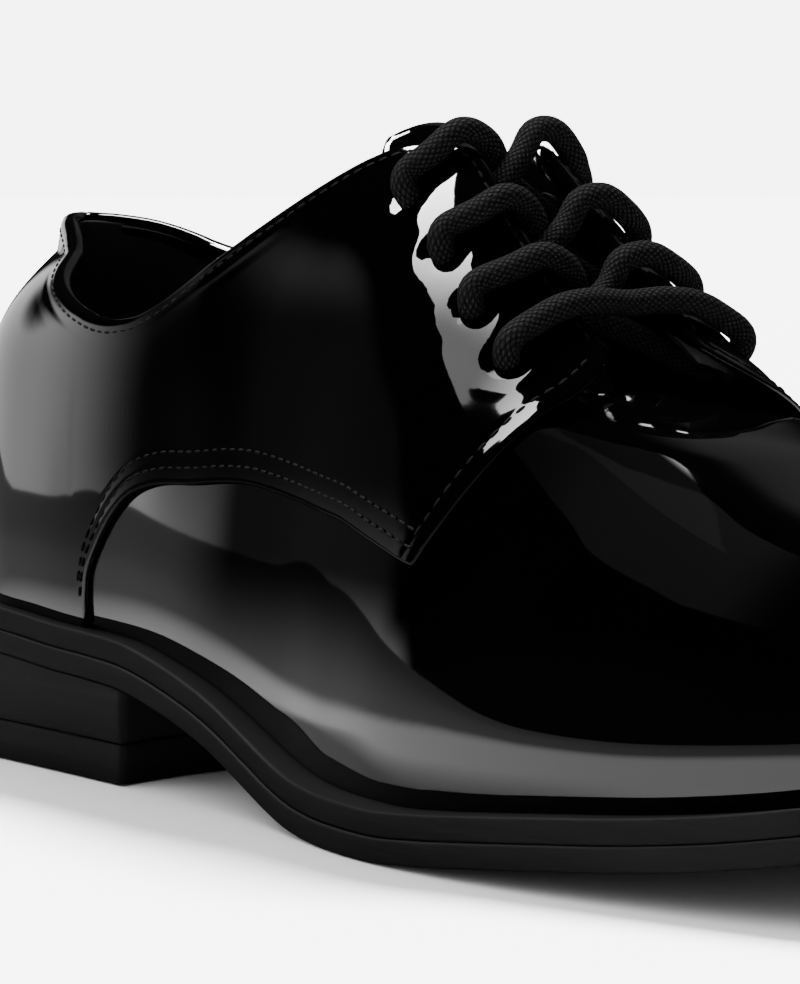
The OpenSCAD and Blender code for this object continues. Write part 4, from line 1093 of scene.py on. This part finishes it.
def sewn(name, points, ways, normals, tree, **sizes):
    mesh = bpy.data.meshes.new(name + "Holes")
    mesh.from_pydata((points * mm).tolist(), [], [])
    for key, values in (("way", ways), ("up", normals)):
        attribute = mesh.attributes.new(key, "FLOAT_VECTOR", "POINT")
        attribute.data.foreach_set("vector", np.asarray(values, np.float32).ravel())
    holder = bpy.data.objects.new(name + "Rows", mesh)
    bpy.context.collection.objects.link(holder)
    modifier = holder.modifiers.new("stitchRows", "NODES")
    modifier.node_group = tree
    for item in tree.interface.items_tree:
        if item.in_out == "INPUT" and item.name in sizes:
            modifier[item.identifier] = sizes[item.name]
    bpy.context.view_layer.update()
    depsgraph = bpy.context.evaluated_depsgraph_get()
    made = bpy.data.meshes.new_from_object(holder.evaluated_get(depsgraph), depsgraph=depsgraph)
    piece = bpy.data.objects.new(name, made)
    bpy.context.collection.objects.link(piece)
    bpy.data.objects.remove(holder)
    return piece


rows = stitchTree()
seamStitches = sewn("seamStitches", *stitchPoints(), rows, Length=stitchSpec["length"] * mm,
                    Width=stitchSpec["width"] * mm, Height=stitchSpec["height"] * mm,
                    Seed=stitchSpec["seed"], Thread=thread)
print("stitches made")


# what rides on what

for piece, nodes, slot in (
        (quarterOuter, ["quarter_outer_side"], "patent_leather"),
        (quarterInner, ["quarter_inner_side"], "patent_leather"),
        (vampShell, ["vamp"], "patent_leather"), (quarterLiningHide, ["quarter_lining"], "lining"),
        (vampLiningHide, ["vamp_lining"], "lining"), (laceBraid, ["lace"], "lace"),
        (midsoleEdge, ["midsole"], "midsole"), (outsoleEdge, ["outsole"], "outsole"),
        (heelBlock, ["heel_block"], "heel"), (topLift, ["top_lift"], "top_lift"),
        (seamStitches, [], "lace")):
    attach(piece, "shoe")
    if nodes:
        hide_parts(*nodes)
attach(tongueShell, "tongue")
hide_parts("tongue", "tongue_padding")
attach(tongueBack, "tongue")
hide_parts("tongue_lining")


# floor, light and camera

# how bright the sky is on the floor, behind the shoe and in the shine, and where the mirrored floor fades
studio = {"sky": 2.0, "backdrop": 8.0, "room": 0.012, "floorNear": 0.17, "floorFar": 0.30,
          "mirroredFloor": 0.16, "sun": 23.8, "sunSoft": 16, "sunTurn": -150, "sunHeight": 60,
          "aim": (0.03, 0.0, 0.07)}
# name, turn round from the near side, height, how far, size, brightness; all angles in degrees
softboxes = [["frontWindow", -62, 60, 1.6, (1.10, 0.84), 60.0],
             ["highWindow", -100, 72, 1.6, (0.62, 0.30), 40.0]]
# soft glows seen only in the shine: turn from, to, height from, to, soft edge, brightness
glows = [[-112, -60, -8, 18, 3.0, 1.9], [-165, -129, 20, 50, 6.0, 0.12]]


def floorPiece():
    f = Finish("paleFloor")
    speck = f.noise(9, 3, 0.5)
    reach = f.add("ShaderNodeVectorMath", {"operation": "LENGTH"}, {0: f.place()}, 1)
    far = f.fade(reach, studio["floorNear"], studio["floorFar"])
    # painted reflection: to glossy rays the floor is dark grey, a little less dark within floorNear to
    # floorFar of the centre; the camera and diffuse light see it pale
    mirrored = f.add("ShaderNodeLightPath", output="Is Glossy Ray")
    pale = f.blend(speck, (0.895, 0.895, 0.897), (0.91, 0.91, 0.912))
    dim = mirrored * (1.0 - (1.0 - far) * studio["mirroredFloor"])
    tone = f.add("ShaderNodeMix", {"data_type": "RGBA"}, {0: dim, 6: pale, 7: (0.03, 0.03, 0.03, 1)}, 2)
    finish = f.shade(tone, 0.75 + speck * 0.05, Specular_IOR_Level=0.1)
    size = 40000.0
    corners = [[-size, -size, -0.2], [size, -size, -0.2], [size, size, -0.2], [-size, size, -0.2]]
    floor = newPiece("floor", corners, [[0, 1, 2, 3]], finish, False)


def skyLight():
    sky = Finish("softStudio", bpy.data.worlds, "ShaderNodeOutputWorld")
    x, y, z = sky.axes(sky.add("ShaderNodeTexCoord", output="Generated"))
    turn = sky.add("ShaderNodeMath", {"operation": "ARCTAN2"}, {0: x, 1: y * -1.0}) * (180 / math.pi)
    height = sky.add("ShaderNodeMath", {"operation": "ARCSINE"}, {0: z}) * (180 / math.pi)
    room = None
    for low, high, bottom, top, soft, bright in glows:
        glow = None
        for value, edge, side in ((turn, low, 1), (turn, high, -1), (height, bottom, 1), (height, top, -1)):
            step = sky.fade(value, edge - side * soft, edge + side * soft)
            glow = step if glow is None else glow * step
        room = glow * bright + (studio["room"] if room is None else room)
    seen = sky.add("ShaderNodeLightPath", output="Is Camera Ray")
    glossy = Wire(sky, seen.socket.node.outputs["Is Glossy Ray"])
    plain = seen * (studio["backdrop"] - studio["sky"]) + studio["sky"]
    back = sky.add("ShaderNodeBackground", {}, {"Strength": room * glossy + plain * (1.0 - glossy)})
    sky.tree.links.new(back.socket, sky.out.inputs["Surface"])
    bpy.context.scene.world = sky.material


def wayTo(turn, height):  # direction as seen from the shoe, in degrees
    a, h = math.radians(turn), math.radians(height)
    return Vector((math.sin(a) * math.cos(h), -math.cos(a) * math.cos(h), math.sin(h)))


def hung(name, data, place, way):  # a lamp or a camera that looks back along the way it stands
    item = bpy.data.objects.new(name, data)
    item.location = place
    item.rotation_mode = "QUATERNION"
    item.rotation_quaternion = (-way).to_track_quat("-Z", "Y")
    bpy.context.collection.objects.link(item)
    return item


def softbox(name, turn, height, far, size, bright):
    light = bpy.data.lights.new(name, "AREA")
    light.shape, light.size, light.size_y = "RECTANGLE", size[0], size[1]
    light.energy = bright * size[0] * size[1] * 4
    way = wayTo(turn, height)
    lamp = hung(name, light, Vector(studio["aim"]) + way * far, way)
    lamp.visible_diffuse = False  # seen only as a reflection in the shine


def sunLight():  # the even light from above that gives the soft shadow under the sole
    light = bpy.data.lights.new("overheadSun", "SUN")
    light.energy, light.angle = studio["sun"], math.radians(studio["sunSoft"])
    way = wayTo(studio["sunTurn"], studio["sunHeight"])
    lamp = hung("overheadSun", light, way * 2, way)
    lamp.visible_glossy = False


floorPiece()
skyLight()
for box in softboxes:
    softbox(*box)
sunLight()


cameraSpec = {"lens": 164.55, "sensor": 36.0, "place": (0.58263, -0.43800, 0.10265),
              "turn": 54.7826, "height": 3.8816}


def viewCamera():
    data = bpy.data.cameras.new("viewCamera")
    data.lens, data.sensor_width, data.sensor_fit = cameraSpec["lens"], cameraSpec["sensor"], "AUTO"
    data.clip_start, data.clip_end = 0.02, 100
    way = wayTo(cameraSpec["turn"], cameraSpec["height"])
    bpy.context.scene.camera = hung("viewCamera", data, cameraSpec["place"], way)


viewCamera()
print("scene ready")
